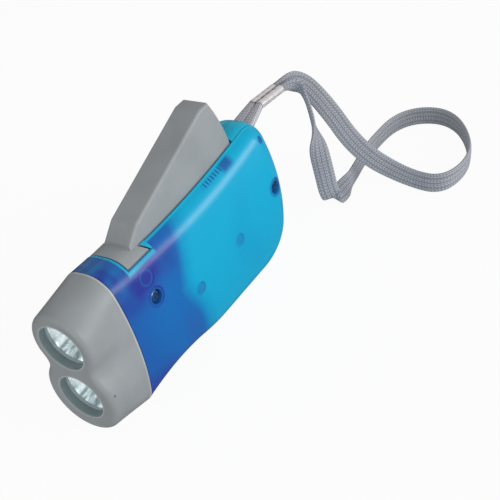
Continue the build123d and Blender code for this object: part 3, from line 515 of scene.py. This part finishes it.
@dataclass(frozen=True)
class PlatedTube:
    """Smooth bright plating on two tubes side by side, with painted shade in the groove between
    them.
    """

    name: str
    bright: Point = (0.93, 0.88, 0.89)
    # colour of the painted shade in the groove
    dark: Point = (0.13, 0.12, 0.14)

    def make(self) -> Material:
        """Builds the material.

        Returns:
            The material.
        """
        graph = Graph(self.name)
        _, y, _ = graph.coordinates()
        # painted shade in the groove between the tubes
        groove = abs(y).falls(0.12 * MM, 0.5 * MM)
        haze = graph.noise(500.0, 1.0) * 0.06
        colour = graph.mix((groove + haze).clamped() * 0.9, self.bright, self.dark)
        return graph.surface(Base_Color=colour, Metallic=0.45, Roughness=0.2 + haze * 0.5)


@dataclass(frozen=True)
class LampMirror:
    """Cup behind a lens with painted reflections streaked from the axis outwards and a painted glow
    by its LED.
    """

    name: str
    dark: Point = (0.10, 0.15, 0.16)
    middle: Point = (0.52, 0.64, 0.66)
    bright: Point = (0.93, 1.0, 1.0)
    streaks: Point = (4.0, 260.0, 100.0)
    # painted reflection: the turn about the axis where a bright band lies
    reflection_turn: float = 0.75
    # painted glow: the mirror gives off light, though it is no lamp
    glow: float = 0.52

    def make(self) -> Material:
        """Builds the material.

        Returns:
            The material.
        """
        graph = Graph(self.name)
        x, y, z = graph.coordinates()
        low, high = sorted(LAMP_HEIGHTS.values())
        up = z - (low + (z - (low + high) / 2).math("GREATER_THAN", 0.0) * (high - low))
        out = y.hypot(up)
        turn = up.math("ARCTAN2", y)
        polar = [place * rate for place, rate in zip((turn, out, x), self.streaks)]
        ray = graph.node("CombineXYZ", {}, dict(enumerate(polar)))
        streak = graph.noise(1.0, 2.0, ray)
        band = (turn + self.reflection_turn).math("COSINE")
        # painted reflection and glow: streaks, a bright band, and more light near the axis
        level = streak * 1.7 + band * band * 0.30 + out.falls(0.002, 0.0055) * 0.45 - 0.50
        stops = ((0.0, self.dark), (0.20, self.dark), (0.42, self.middle), (0.62, self.bright))
        colour = graph.node("ValToRGB", {"stops": stops}, {"Fac": level.clamped()})
        return graph.surface(Base_Color=colour, Metallic=1.0, Roughness=0.10 + streak * 0.05,
                             Emission_Color=colour, Emission_Strength=self.glow)


@dataclass(frozen=True)
class Braid:
    """Tubular braid: rows of slanted stitches with grooves along the strap, with painted shade low
    in the weave.
    """

    name: str
    light: Point = (0.45, 0.47, 0.52)
    # colour of the painted shade low in the weave
    dark: Point = (0.15, 0.165, 0.20)
    rows: float = 10.0
    stitch: float = 1.15 * MM
    slant: float = 0.55 * MM
    relief: float = 0.22 * MM
    grooves: Point = (0.25, 0.5, 0.75)

    def make(self) -> Material:
        """Builds the material, on a UV map of place across (0 to 1) and metres along.

        Returns:
            The material.
        """
        graph = Graph(self.name)
        place = graph.node("UVMap", {"uv_map": "braid"}, {})
        across = graph.number("SeparateXYZ", {}, {0: place}, 0)
        along = graph.number("SeparateXYZ", {}, {0: place}, 1)
        row = (across * self.rows).math("FRACT")
        odd = (across * (self.rows / 2)).math("FRACT").math("GREATER_THAN", 0.5)
        lean = (odd * 2 - 1) * (row - 0.5)
        phase = ((along + lean * self.slant) / self.stitch).math("FRACT")
        loop = (abs(phase - 0.5) * 2).falls(0.35, 1.0)
        rib = (abs(row - 0.5) * 2).falls(0.45, 1.0)
        height = loop * 0.6 + rib * 0.4
        groove = self._grooves(across)
        height = height * (1 - groove * 0.8)
        fuzz = graph.noise(5200.0, 2.0)
        # painted shade: darker where the weave lies low, between stitches and in the grooves, with
        # random fuzz
        shade_and_fuzz = (height * 0.85 + fuzz * 0.25).clamped()
        patch = graph.noise(90.0, 2.0).rises(0.4, 0.7) * 0.18
        bright = graph.mix(patch, self.light, tuple(channel * 0.75 for channel in self.light))
        return graph.surface(
            Base_Color=graph.mix(shade_and_fuzz, self.dark, bright), Roughness=0.9,
            Sheen_Weight=0.25, Sheen_Roughness=0.5,
            Normal=graph.bump(height + fuzz * 0.2, self.relief, 0.9))

    def _grooves(self, across: Num) -> Num:
        """1 in a groove that runs along the braid, 0 beside it."""
        return sum(across.band(middle, 0.008, 0.03) for middle in self.grooves).clamped()


@dataclass(frozen=True)
class ClearPart:
    """Clear plastic or epoxy."""

    name: str
    colour: Point
    alpha: float
    roughness: float = 0.04
    glow: float = 0.0

    def make(self) -> Material:
        """Builds the material.

        Returns:
            The material.
        """
        graph = Graph(self.name)
        swirl = graph.noise(400.0, 2.0)
        colour = graph.mix(swirl.rises(0.4, 0.7) * 0.3, self.colour, (1.0, 1.0, 1.0))
        return graph.surface(
            Base_Color=colour, Alpha=self.alpha + swirl * 0.06,
            Roughness=self.roughness + swirl * 0.03, IOR=1.5, Coat_Weight=0.5, Coat_Roughness=0.03,
            Emission_Color=colour, Emission_Strength=self.glow)


@dataclass(frozen=True)
class LampMouths:
    """Colour of the head: painted shade in its two mouths, painted highlights on the rims, and a
    gate mark.
    """

    mouth: float = 8.2 * MM
    rim: float = 8.3 * MM
    seam_x: float = 35.9 * MM
    mirror_x: tuple[float, float] = (49.1 * MM, 49.5 * MM)
    deep_x: tuple[float, float] = (49.5 * MM, 52.5 * MM)
    face_x: tuple[float, float] = (52.6 * MM, 52.8 * MM)
    gate: tuple[float, float] = (51.0 * MM, 21.6 * MM)
    # colour of the painted shade inside the mouths
    mouth_shade: Point = (0.07, 0.115, 0.12)
    dark_line: Point = (0.012, 0.03, 0.035)
    # colour of the painted highlights on the lamp rims and the seam edge
    highlight_colour: Point = (0.62, 0.65, 0.66)
    gate_colour: Point = (0.05, 0.06, 0.07)

    def shade(self, graph: Graph, colour: Socket) -> Socket:
        """Changes the plastic's colour: painted shade in the mouths, painted highlights on the
        rims, and the mark.

        Args:
            graph: the plastic's node tree.
            colour: its colour so far.

        Returns:
            The shaded colour.
        """
        x, y, z = graph.coordinates()
        # painted highlight: a pale line along the head's seam edge
        rim_highlights = x.band(self.seam_x, 0.15 * MM, 0.2 * MM) * 0.5
        for height in LAMP_HEIGHTS.values():
            distance = y.hypot(z - height)
            mouth = distance.falls(self.mouth - 0.04 * MM, self.mouth + 0.04 * MM)
            # painted shade inside the mouth, darker further in
            colour = graph.mix(mouth * (0.60 + x.falls(*self.deep_x) * 0.20), colour, self.mouth_shade)
            colour = graph.mix(mouth * x.falls(*self.mirror_x) * 0.85, colour, self.dark_line)
            # painted highlight round the lamp's rim
            edge = distance.band(self.rim, 0.12 * MM, 0.2 * MM)
            rim_highlights = rim_highlights + edge * x.rises(*self.face_x) * 0.45
        colour = graph.mix(rim_highlights.clamped(), colour, self.highlight_colour)
        gate_x, gate_z = self.gate
        mark = (x - gate_x).hypot(z - gate_z).falls(0.3 * MM, 0.45 * MM) * y.rises(0.010, 0.011)
        return graph.mix(mark * 0.8, colour, self.gate_colour)


# ---- mesh helpers ----
def add_object(name: str, data: bpy.types.ID) -> Object:
    """Puts a new object in the scene.

    Args:
        name: its name.
        data: its mesh, curve, light or camera.

    Returns:
        The object.
    """
    made = bpy.data.objects.new(name, data)
    bpy.context.scene.collection.objects.link(made)
    return made


def new_piece(name: str, vertices: Sequence[Sequence[float]], faces: Sequence[Sequence[int]],
              material: Material, smooth: bool = True) -> Object:
    """Makes one closed mesh piece with its normals outwards.

    Args:
        name: the piece's name.
        vertices: its points, in metres.
        faces: its faces, as lists of indices.
        material: its material.
        smooth: whether it is shaded smooth.

    Returns:
        The new object, at the origin.
    """
    mesh = bpy.data.meshes.new(name)
    mesh.from_pydata([tuple(v) for v in vertices], [], [list(f) for f in faces])
    shape = bmesh.new()
    shape.from_mesh(mesh)
    bmesh.ops.recalc_face_normals(shape, faces=shape.faces)
    shape.to_mesh(mesh)
    shape.free()
    mesh.polygons.foreach_set("use_smooth", [smooth] * len(mesh.polygons))
    mesh.materials.append(material)
    return add_object(name, mesh)


def dress(node: Object, material: Material) -> None:
    """Gives every slot of a CAD node one material.

    Args:
        node: the node.
        material: its finish.
    """
    if not node.data.materials:
        node.data.materials.append(material)
    for index in range(len(node.data.materials)):
        node.data.materials[index] = material
    log.info("dressed %s in %s", node.name, material.name)


# ---- geometry node trees ----
class Tree:
    """A Geometry Nodes tree with named inputs, run once and left as a plain mesh."""

    def __init__(self, name: str, sizes: dict[str, float]) -> None:
        """Starts an empty tree.

        Args:
            name: its name.
            sizes: its inputs by name.
        """
        self.group = bpy.data.node_groups.new(name, "GeometryNodeTree")
        interface = self.group.interface
        interface.new_socket("Geometry", in_out="OUTPUT", socket_type="NodeSocketGeometry")
        self.values: dict[str, float] = {}
        for key, value in sizes.items():
            made = interface.new_socket(key, in_out="INPUT", socket_type="NodeSocketFloat")
            self.values[made.identifier] = value
        self.sizes = self.group.nodes.new("NodeGroupInput").outputs

    def node(self, kind: str, inputs: dict) -> Socket:
        """Adds one node of a kind named without its GeometryNode, and returns its output."""
        return add_node(self.group, "GeometryNode" + kind, {}, inputs)

    def join(self, parts: Sequence[Socket]) -> Socket:
        """Joins geometry.

        Args:
            parts: what is joined.

        Returns:
            The whole.
        """
        joined = self.group.nodes.new("GeometryNodeJoinGeometry")
        for part in parts:
            self.group.links.new(part, joined.inputs[0])
        return joined.outputs[0]

    def run(self, name: str, geometry: Socket, material: Material) -> Object:
        """Realizes the geometry with a material and leaves it as a plain mesh piece.

        Args:
            name: the piece's name.
            geometry: what the tree made.
            material: the piece's material.

        Returns:
            The new object, at the origin.
        """
        real = self.node("RealizeInstances", {0: geometry})
        done = self.node("SetMaterial", {"Geometry": real, "Material": material})
        end = self.group.nodes.new("NodeGroupOutput")
        self.group.links.new(done, end.inputs[0])
        host = add_object(name + "_host", bpy.data.meshes.new(name + "_host"))
        modifier = host.modifiers.new("build", "NODES")
        modifier.node_group = self.group
        for identifier, value in self.values.items():
            modifier[identifier] = value
        graph = bpy.context.evaluated_depsgraph_get()
        mesh = bpy.data.meshes.new_from_object(host.evaluated_get(graph), depsgraph=graph)
        mesh.name = name
        host.modifiers.remove(modifier)
        bpy.data.objects.remove(host)
        mesh.polygons.foreach_set("use_smooth", [True] * len(mesh.polygons))
        return add_object(name, mesh)


# ---- camera and studio ----
@dataclass(frozen=True)
class ShopCamera:
    """The camera, where the photograph was taken from."""

    place: Point = (0.19186, 0.19815, 0.22993)
    looks: Point = (-0.60909, -0.52324, -0.59602)
    up: Point = (-0.60013, -0.18726, 0.77768)
    lens: float = 75.6

    def build(self) -> None:
        """Makes the camera and sets it as the scene's."""
        data = bpy.data.cameras.new("shop_camera")
        data.lens = self.lens
        data.sensor_width = 36.0
        data.clip_start = 0.01
        data.clip_end = 20.0
        camera = add_object("shop_camera", data)
        ahead = Vector(self.looks).normalized()
        right = ahead.cross(Vector(self.up)).normalized()
        upward = right.cross(ahead)
        turn = Matrix((right, upward, -ahead)).transposed().to_4x4()
        camera.matrix_world = Matrix.Translation(self.place) @ turn
        bpy.context.scene.camera = camera


@dataclass(frozen=True)
class SoftBox:
    """One square area light that faces the torch."""

    name: str
    place: Point
    watts: float
    size: float
    target: Point = (-0.02, 0.0, 0.03)

    def build(self) -> None:
        """Makes the light."""
        data = bpy.data.lights.new(self.name, "AREA")
        data.energy = self.watts
        data.size = self.size
        lamp = add_object(self.name, data)
        lamp.location = self.place
        aim = Vector(self.target) - Vector(self.place)
        lamp.rotation_euler = aim.to_track_quat("-Z", "Y").to_euler()


@dataclass
class Studio:
    """White table, white surround and soft lights."""

    table_size: float = 6.0
    surround: float = 0.40
    mirrored_table: float = 0.1
    table_white: float = 0.94
    boxes: tuple[SoftBox, ...] = (
        SoftBox("key", (0.10, 1.05, 0.55), 4.6, 0.6),
        SoftBox("strip", (-0.62, 0.84, 0.20), 3.2, 0.34),
        SoftBox("front", (1.0, 0.15, 0.25), 2.2, 0.5),
    )

    def build(self) -> None:
        """Makes the table, the world and the lights."""
        half = self.table_size / 2
        corners = [(-half, -half, 0), (half, -half, 0), (half, half, 0), (-half, half, 0)]
        table = new_piece("table", corners, [(0, 1, 2, 3)], self._table_finish())
        self._world()
        for box in self.boxes:
            box.build()
        bpy.context.scene.view_settings.view_transform = "Standard"

    def _table_finish(self) -> Material:
        """White that stays white to the eye and keeps a faint shadow.

        Returns:
            The material.
        """
        graph = Graph("table_white")
        speckle = graph.noise(40.0, 2.0) * 0.01
        cloth = graph.mix(speckle, (0.90, 0.90, 0.90), (0.86, 0.86, 0.86))
        matt = graph.node("BsdfDiffuse", {}, {"Color": cloth})
        rays = graph.tree.nodes.new("ShaderNodeLightPath")
        kinds = ("Is Camera Ray", "Is Glossy Ray", "Is Transmission Ray")
        eye, mirrored, clear = (Num(graph, rays.outputs[kind]) for kind in kinds)
        power = 1 - mirrored * (1 - self.mirrored_table)
        white = graph.node("Emission", {}, {"Color": (1, 1, 1, 1), "Strength": power})
        seen = (eye + mirrored + clear).clamped() * self.table_white
        mixed = graph.node("MixShader", {}, {0: seen, 1: matt, 2: white})
        graph.node_output(mixed)
        return graph.material

    def _world(self) -> None:
        """Even white light from all round."""
        world = bpy.data.worlds.new("surround")
        world.use_nodes = True
        bpy.context.scene.world = world
        tree = world.node_tree
        tree.nodes.clear()
        eye = add_node(tree, "ShaderNodeLightPath", {}, {}, "Is Camera Ray")
        levels = {"Value": eye, "To Min": self.surround, "To Max": 1.0}
        power = add_node(tree, "ShaderNodeMapRange", {}, levels)
        light = {"Color": (1, 1, 1, 1), "Strength": power}
        glow = add_node(tree, "ShaderNodeBackground", {}, light)
        end = tree.nodes.new("ShaderNodeOutputWorld")
        tree.links.new(glow, end.inputs["Surface"])


# ---- strap ----
def eased(share: float) -> float:
    """A share from 0 to 1, made to start and stop gently."""
    return share * share * (3 - 2 * share)


def heading(path: Sequence[Vector], index: int) -> Vector:
    """The way a path goes at one of its points."""
    return (path[min(index + 1, len(path) - 1)] - path[max(index - 1, 0)]).normalized()


@dataclass(frozen=True)
class WidthHint:
    """The way the braid's width points at a share of the route."""

    share: float
    points: Point


@dataclass
class WristStrap:
    """Flat tubular braid: a tail from the body, a ferrule, and a loop that lies on the table."""

    width: float = 7.5 * MM
    thickness: float = 1.6 * MM
    neck: float = 2.7 * MM
    neck_run: float = 11.0 * MM
    length: float = 0.262
    exit: Point = (-0.0518, 0.0, 0.0499)
    samples_across: int = 14
    squareness: float = 3.2
    groove_places: Point = (-0.5, 0.0, 0.5)
    groove_depth: float = 0.10
    groove_width: float = 0.07
    tail_ends: tuple[Point, Point] = ((-0.0475, 0.0, 0.0486), (-0.0608, 0.0, 0.0516))
    tail_steps: int = 16
    route: tuple[Point, ...] = (
        (-0.0750, -0.00145, 0.0501), (-0.0869, 0.0002, 0.0492), (-0.0909, 0.0080, 0.0360),
        (-0.0899, 0.0200, 0.0170), (-0.0959, 0.0350, 0.00375), (-0.0944, 0.0515, 0.00375),
        (-0.1159, 0.0545, 0.00375), (-0.1409, 0.0350, 0.00375), (-0.1354, 0.0140, 0.00375),
        (-0.1089, 0.0118, 0.00375), (-0.0909, 0.0146, 0.00375), (-0.0779, 0.0155, 0.00375),
        (-0.0737, 0.0146, 0.0065), (-0.0764, 0.0122, 0.0150), (-0.0784, 0.0102, 0.0240),
        (-0.0822, 0.0075, 0.0415), (-0.0821, 0.0030, 0.0500), (-0.0750, 0.00145, 0.0501),
    )
    hints: tuple[WidthHint, ...] = (
        WidthHint(0.0, (0.0, 0.0, 1.0)), WidthHint(0.05, (-0.55, 0.0, 0.8)),
        WidthHint(0.13, (-0.75, 0.45, 0.4)), WidthHint(0.26, (-0.2, 0.1, 0.97)),
        WidthHint(0.74, (0.0, 0.0, 1.0)), WidthHint(0.78, (0.30, -0.60, 0.72)),
        WidthHint(0.82, (0.70, -0.70, -0.1)), WidthHint(0.85, (0.66, -0.75, 0.0)),
        WidthHint(0.925, (0.73, 0.64, 0.27)), WidthHint(1.0, (0.0, 0.0, 1.0)),
    )

    def build(self, nodes: Nodes) -> None:
        """Args:
            nodes: the CAD nodes by name.
        """
        braid = Braid("grey_braid").make()
        path = self._path()
        loop = self._loop(path, braid)
        tail = self._tail(Braid("tail_braid", (0.72, 0.73, 0.77), (0.24, 0.25, 0.30)).make())
        dress(nodes["strap_ferrule"], PlatedTube("ferrule_nickel").make())
        for piece, node in ((loop, "strap_loop"), (tail, "strap_tail")):
            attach(piece, "housing")
            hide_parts(node)
        log.info("strap loop of %d points, tail and ferrule", len(path))

    def _path(self) -> list[Vector]:
        """Follows the route's NURBS spline.

        Returns:
            Points along it.
        """
        curve = bpy.data.curves.new("strap_route", "CURVE")
        curve.dimensions = "3D"
        curve.resolution_u = 20
        spline = curve.splines.new("NURBS")
        spline.points.add(len(self.route) - 1)
        for point, place in zip(spline.points, self.route):
            point.co = (*place, 1.0)
        spline.order_u = 3
        spline.use_endpoint_u = True
        carrier = add_object("strap_route", curve)
        graph = bpy.context.evaluated_depsgraph_get()
        mesh = bpy.data.meshes.new_from_object(carrier.evaluated_get(graph))
        points = [v.co.copy() for v in mesh.vertices]
        bpy.data.objects.remove(carrier)
        bpy.data.meshes.remove(mesh)
        return points

    def _aim(self, share: float, ahead: Vector) -> Vector:
        """The width's direction, square to the way ahead.

        Args:
            share: place along the route, 0 to 1.
            ahead: the way the route goes there.

        Returns:
            The direction.
        """
        for before, after in zip(self.hints, self.hints[1:]):
            if share <= after.share:
                blend = (share - before.share) / (after.share - before.share)
                break
        aim = Vector(before.points).lerp(Vector(after.points), eased(blend))
        aim -= aim.dot(ahead) * ahead
        return aim.normalized()

    def _outline(self, half: float, thick: float) -> list[Point]:
        """The braid's section.

        Args:
            half: half its width.
            thick: its thickness.

        Returns:
            Points, each a place across, a place through, and a share of the width.
        """
        upper = []
        for step in range(self.samples_across + 1):
            angle = math.pi * step / self.samples_across
            across = -math.cos(angle)
            swell = math.sqrt(max(0.0, 1 - abs(across) ** self.squareness))
            for middle in self.groove_places:
                off = (across - middle) / self.groove_width
                swell -= self.groove_depth * math.exp(-(off ** 2))
            upper.append((across * half, swell * thick / 2, (across + 1) / 2))
        lower = [(a, -t, u) for a, t, u in reversed(upper[1:-1])]
        return upper + lower

    def _sweep(self, name: str, path: Sequence[Vector], widths: Sequence[float],
               thicks: Sequence[float], aims: Sequence[Vector], material: Material) -> Object:
        """Sweeps the braid's section along a path, with its UV map.

        Args:
            name: the piece's name.
            path: the centreline.
            widths: the full width at each point.
            thicks: the full thickness at each point.
            aims: the width's direction at each point.
            material: the braid.

        Returns:
            The closed piece.
        """
        vertices, shares, runs = [], [], []
        run = 0.0
        for index, place in enumerate(path):
            normal = heading(path, index).cross(aims[index])
            if index:
                run += (place - path[index - 1]).length
            for across, through, share in self._outline(widths[index] / 2, thicks[index]):
                vertices.append(place + aims[index] * across + normal * through)
                shares.append(share)
                runs.append(run)
        ring = len(vertices) // len(path)
        faces = []
        for first in range(0, (len(path) - 1) * ring, ring):
            for k in range(ring):
                beside = (k + 1) % ring
                faces.append((first + k, first + beside, first + ring + beside, first + ring + k))
        for start, centre in ((0, path[0]), ((len(path) - 1) * ring, path[-1])):
            middle = len(vertices)
            vertices.append(centre)
            shares.append(0.5)
            runs.append(runs[start])
            faces += [(start + k, start + (k + 1) % ring, middle) for k in range(ring)]
        piece = new_piece(name, vertices, faces, material)
        layer = piece.data.uv_layers.new(name="braid")
        for loop in piece.data.loops:
            layer.data[loop.index].uv = (shares[loop.vertex_index], runs[loop.vertex_index])
        return piece

    def _loop(self, path: list[Vector], braid: Material) -> Object:
        """The loop, narrow where it leaves each side of the ferrule.

        Args:
            path: its centreline.
            braid: its material.

        Returns:
            The closed piece.
        """
        travelled = [0.0]
        for before, after in zip(path, path[1:]):
            travelled.append(travelled[-1] + (after - before).length)
        total = travelled[-1]
        widths, thicks, aims = [], [], []
        for index, run in enumerate(travelled):
            opened = eased(min(1.0, min(run, total - run) / self.neck_run))
            widths.append(self.neck + (self.width - self.neck) * opened)
            thicks.append(self.neck + (self.thickness - self.neck) * opened)
            aims.append(self._aim(run / total, heading(path, index)))
        return self._sweep("strap_loop_braid", path, widths, thicks, aims, braid)

    def _tail(self, braid: Material) -> Object:
        """Two strands side by side, from the bar in the body to the ferrule.

        Args:
            braid: their material.

        Returns:
            Both strands as one piece.
        """
        start, end = (Vector(place) for place in self.tail_ends)
        aims = [Vector((0.0, 1.0, 0.0))] * (self.tail_steps + 1)
        thicks = [self.neck] * len(aims)
        parts = []
        for side in (1, -1):
            path, widths = [], []
            for step in range(len(aims)):
                share = step / self.tail_steps
                apart = side * (2.25 - 0.8 * share) * MM
                path.append(start.lerp(end, share) + Vector((0.0, apart, 0.0)))
                widths.append((4.7 - 1.9 * share ** 2) * MM)
            parts.append(self._sweep("strap_tail_braid", path, widths, thicks, aims, braid))
        first, second = parts
        merged = bmesh.new()
        merged.from_mesh(first.data)
        merged.from_mesh(second.data)
        merged.to_mesh(first.data)
        merged.free()
        bpy.data.objects.remove(second)
        first.name = "strap_tail_braid"
        return first


# ---- lamps ----
@dataclass
class Lamp:
    """One lamp: faceted mirror, LED and lens."""

    name: str
    z: float
    front_x: float = 0.0489
    rear_x: float = 0.0411
    rim: float = 8.35 * MM
    throat: float = 2.55 * MM
    wall: float = 0.25 * MM
    flare: float = 1.7
    facets: int = 24
    rings: int = 7

    def build(self, nodes: Nodes, mirror: Material, epoxy: Material, clear: Material) -> None:
        """Makes the mirror and dresses the LED and the lens.

        Args:
            nodes: the CAD nodes by name.
            mirror: the cup's material.
            epoxy: the LED's.
            clear: the lens's.
        """
        cup = self._mirror(mirror)
        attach(cup, "housing")
        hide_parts("reflector_" + self.name)
        dress(nodes["led_" + self.name], epoxy)
        dress(nodes["lens_" + self.name], clear)
        log.info("lamp %s", self.name)

    def _mirror(self, material: Material) -> Object:
        """A cup of flat facets, closed at both rims.

        Args:
            material: its material.

        Returns:
            The closed piece.
        """
        vertices, faces = [], []
        step = 2 * math.pi / self.facets
        for layer in range(2):
            for ring in range(self.rings + 1):
                share = ring / self.rings
                radius = self.throat + (self.rim - self.throat) * share - self.wall * (1 - layer)
                radius = max(radius, self.throat)
                x = self.rear_x + (self.front_x - self.rear_x) * share ** self.flare
                phase = step / 2 * (ring % 2)
                for k in range(self.facets):
                    angle = k * step + phase
                    y, up = radius * math.cos(angle), radius * math.sin(angle)
                    vertices.append((x, y, self.z + up))
        count = (self.rings + 1) * self.facets
        for layer in range(2):
            for ring in range(self.rings):
                for k in range(self.facets):
                    a = layer * count + ring * self.facets + k
                    b = layer * count + ring * self.facets + (k + 1) % self.facets
                    c, d = a + self.facets, b + self.facets
                    if ring % 2:
                        faces += [(a, b, d), (a, d, c)]
                    else:
                        faces += [(a, b, c), (b, d, c)]
        for ring in (0, self.rings):
            for k in range(self.facets):
                a = ring * self.facets + k
                b = ring * self.facets + (k + 1) % self.facets
                faces.append((a, b, b + count, a + count))
        return new_piece("mirror_" + self.name, vertices, faces, material, smooth=False)


# ---- works inside ----
@dataclass
class CoilTurns:
    """The generator's winding: layers of round wire on the bobbin."""

    centre: Point = (0.0164133, -0.0081, 0.0212)
    inner: float = 2.7 * MM
    wire: float = 0.2 * MM
    layers: int = 7
    layer_pitch: float = 1.9
    turns: int = 4

    def build(self) -> None:
        """Makes the turns with Geometry Nodes."""
        copper = TurnedMetal("enamelled_copper", (0.62, 0.24, 0.09), 0.3, 0.1).make()
        tree = Tree("winding", {"First layer": self.inner, "Wire radius": self.wire})
        x, y, z = self.centre
        thin = {"Resolution": 6, "Radius": tree.sizes["Wire radius"]}
        section = tree.node("CurvePrimitiveCircle", thin)
        line = tree.node("MeshLine", {
            "Count": self.turns, "Offset": (0, -2 * self.wire, 0),
            "Start Location": (x, y + (self.turns - 1) * self.wire, z)})
        layers = []
        upright = (math.pi / 2, 0, 0)
        for layer in range(self.layers):
            grown = {0: tree.sizes["First layer"], 1: layer * self.layer_pitch * self.wire}
            radius = add_node(tree.group, "ShaderNodeMath", {}, grown)
            circle = tree.node("CurvePrimitiveCircle", {"Resolution": 40, "Radius": radius})
            ring = tree.node("CurveToMesh", {"Curve": circle, "Profile Curve": section})
            turned = tree.node("Transform", {"Geometry": ring, "Rotation": upright})
            copies = {"Points": line, "Instance": turned}
            layers.append(tree.node("InstanceOnPoints", copies))
        winding = tree.run("winding_turns", tree.join(layers), copper)
        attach(winding, "housing")
        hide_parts("coil_winding")
        log.info("winding of %d faces", len(winding.data.polygons))


@dataclass
class SpringCoils:
    """The lever's return spring as real coils of wire with two legs."""

    centre: Point = (0.0226, -0.0070, 0.0435)
    radius: float = 3.45 * MM
    wire: float = 0.29 * MM
    length: float = 1.2 * MM
    turns: float = 2.0
    legs: tuple[float, float] = (-28.0, 150.0)
    reach: float = 8.0 * MM

    def build(self) -> None:
        """Makes the coils with Geometry Nodes."""
        steel = TurnedMetal("spring_steel", (0.5, 0.5, 0.52), 0.3, 0.15).make()
        tree = Tree("spring", {"Coil radius": self.radius, "Wire radius": self.wire})
        radius = tree.sizes["Coil radius"]
        spiral = tree.node("CurveSpiral", {
            "Resolution": 36, "Rotations": self.turns, "Start Radius": radius, "End Radius": radius,
            "Height": self.length})
        curves = [tree.node("Transform", {
            "Geometry": spiral, "Rotation": (-math.pi / 2, 0, 0), "Translation": self.centre})]
        middle = Vector(self.centre) + Vector((0.0, self.length / 2, 0.0))
        for angle in map(math.radians, self.legs):
            way = Vector((math.cos(angle), 0, math.sin(angle)))
            ends = {"Start": middle + way * self.radius, "End": middle + way * self.reach}
            curves.append(tree.node("CurvePrimitiveLine", ends))
        thin = {"Resolution": 8, "Radius": tree.sizes["Wire radius"]}
        section = tree.node("CurvePrimitiveCircle", thin)
        coils = tree.node("CurveToMesh", {
            "Curve": tree.join(curves), "Profile Curve": section, "Fill Caps": True})
        spring = tree.run("spring_coils", coils, steel)
        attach(spring, "lever")
        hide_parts("return_spring")
        log.info("spring of %d faces", len(spring.data.polygons))


@dataclass
class Works:
    """The gear train, generator, cells, board and fixings, dressed where they stand."""

    finishes: tuple[tuple[Union[SatinPlastic, TurnedMetal], tuple[str, ...]], ...] = (
        (SatinPlastic("gear_nylon", (0.62, 0.62, 0.58), 0.35),
         ("first_pinion", "first_gear", "second_pinion", "second_gear")),
        (TurnedMetal("pin_steel", (0.56, 0.56, 0.57), 0.25),
         ("lever_pin", "first_axle", "second_axle", "rotor_shaft", "flywheel", "strap_bar")),
        (TurnedMetal("screw_steel", (0.22, 0.42, 0.70), 0.34), ("shell_screws",)),
        (TurnedMetal("cell_can", (0.68, 0.68, 0.66), 0.18, 0.1),
         ("button_cells", "contact_plus", "contact_minus")),
        (TurnedMetal("pinion_brass", (0.75, 0.55, 0.22), 0.25), ("rotor_pinion",)),
        (SatinPlastic("magnet_ferrite", (0.03, 0.03, 0.032), 0.5), ("ring_magnet",)),
        (TurnedMetal("pole_plate", (0.35, 0.35, 0.37), 0.35), ("stator_core",)),
        (SatinPlastic("black_moulding", (0.012, 0.012, 0.014), 0.4),
         ("battery_cradle", "switch_body", "coil_bobbin", "rectifier_diodes", "lead_black")),
        (SatinPlastic("red_sleeve", (0.45, 0.015, 0.01), 0.45), ("lead_red",)),
        (SatinPlastic("board_mask", (0.02, 0.16, 0.05), 0.3), ("circuit_board",)),
    )

    def build(self, nodes: Nodes) -> None:
        """Dresses every inner node and makes the winding and the spring.

        Args:
            nodes: the CAD nodes by name.
        """
        for finish, names in self.finishes:
            material = finish.make()
            for name in names:
                dress(nodes[name], material)
        CoilTurns().build()
        SpringCoils().build()


@dataclass
class Housing:
    """The two tinted shells, the grey head, the lever and the switch."""

    grey: Point = (0.335, 0.362, 0.375)

    def build(self, nodes: Nodes) -> None:
        """Dresses the outer pieces.

        Args:
            nodes: the CAD nodes by name.
        """
        dress(nodes["shell_right"], TintedShell("tinted_shell_screws", Side.SCREWS).make())
        dress(nodes["shell_left"], TintedShell("tinted_shell_switch", Side.SWITCH).make())
        head = SatinPlastic("head_grey", self.grey, 0.40).make(LampMouths().shade)
        dress(nodes["head_bezel"], head)
        dress(nodes["squeeze_lever"], SatinPlastic("lever_grey", self.grey, 0.46).make())
        dress(nodes["switch_slider"], SatinPlastic("switch_grey", self.grey, 0.5).make())


def main() -> None:
    """Builds the torch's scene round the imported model."""
    logging.basicConfig(level=logging.INFO, format="%(name)s: %(message)s")
    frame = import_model()
    nodes = frame["nodes"]
    ShopCamera().build()
    WristStrap().build(nodes)
    Housing().build(nodes)
    mirror = LampMirror("lamp_mirror").make()
    epoxy = ClearPart("led_epoxy", (0.75, 0.97, 1.0), 0.86, 0.1, 0.55).make()
    clear = ClearPart("lens_clear", (0.93, 0.99, 1.0), 0.10, 0.03).make()
    for name, z in LAMP_HEIGHTS.items():
        Lamp(name, z).build(nodes, mirror, epoxy, clear)
    Works().build(nodes)
    Studio().build()


if __name__ == "__main__":
    main()
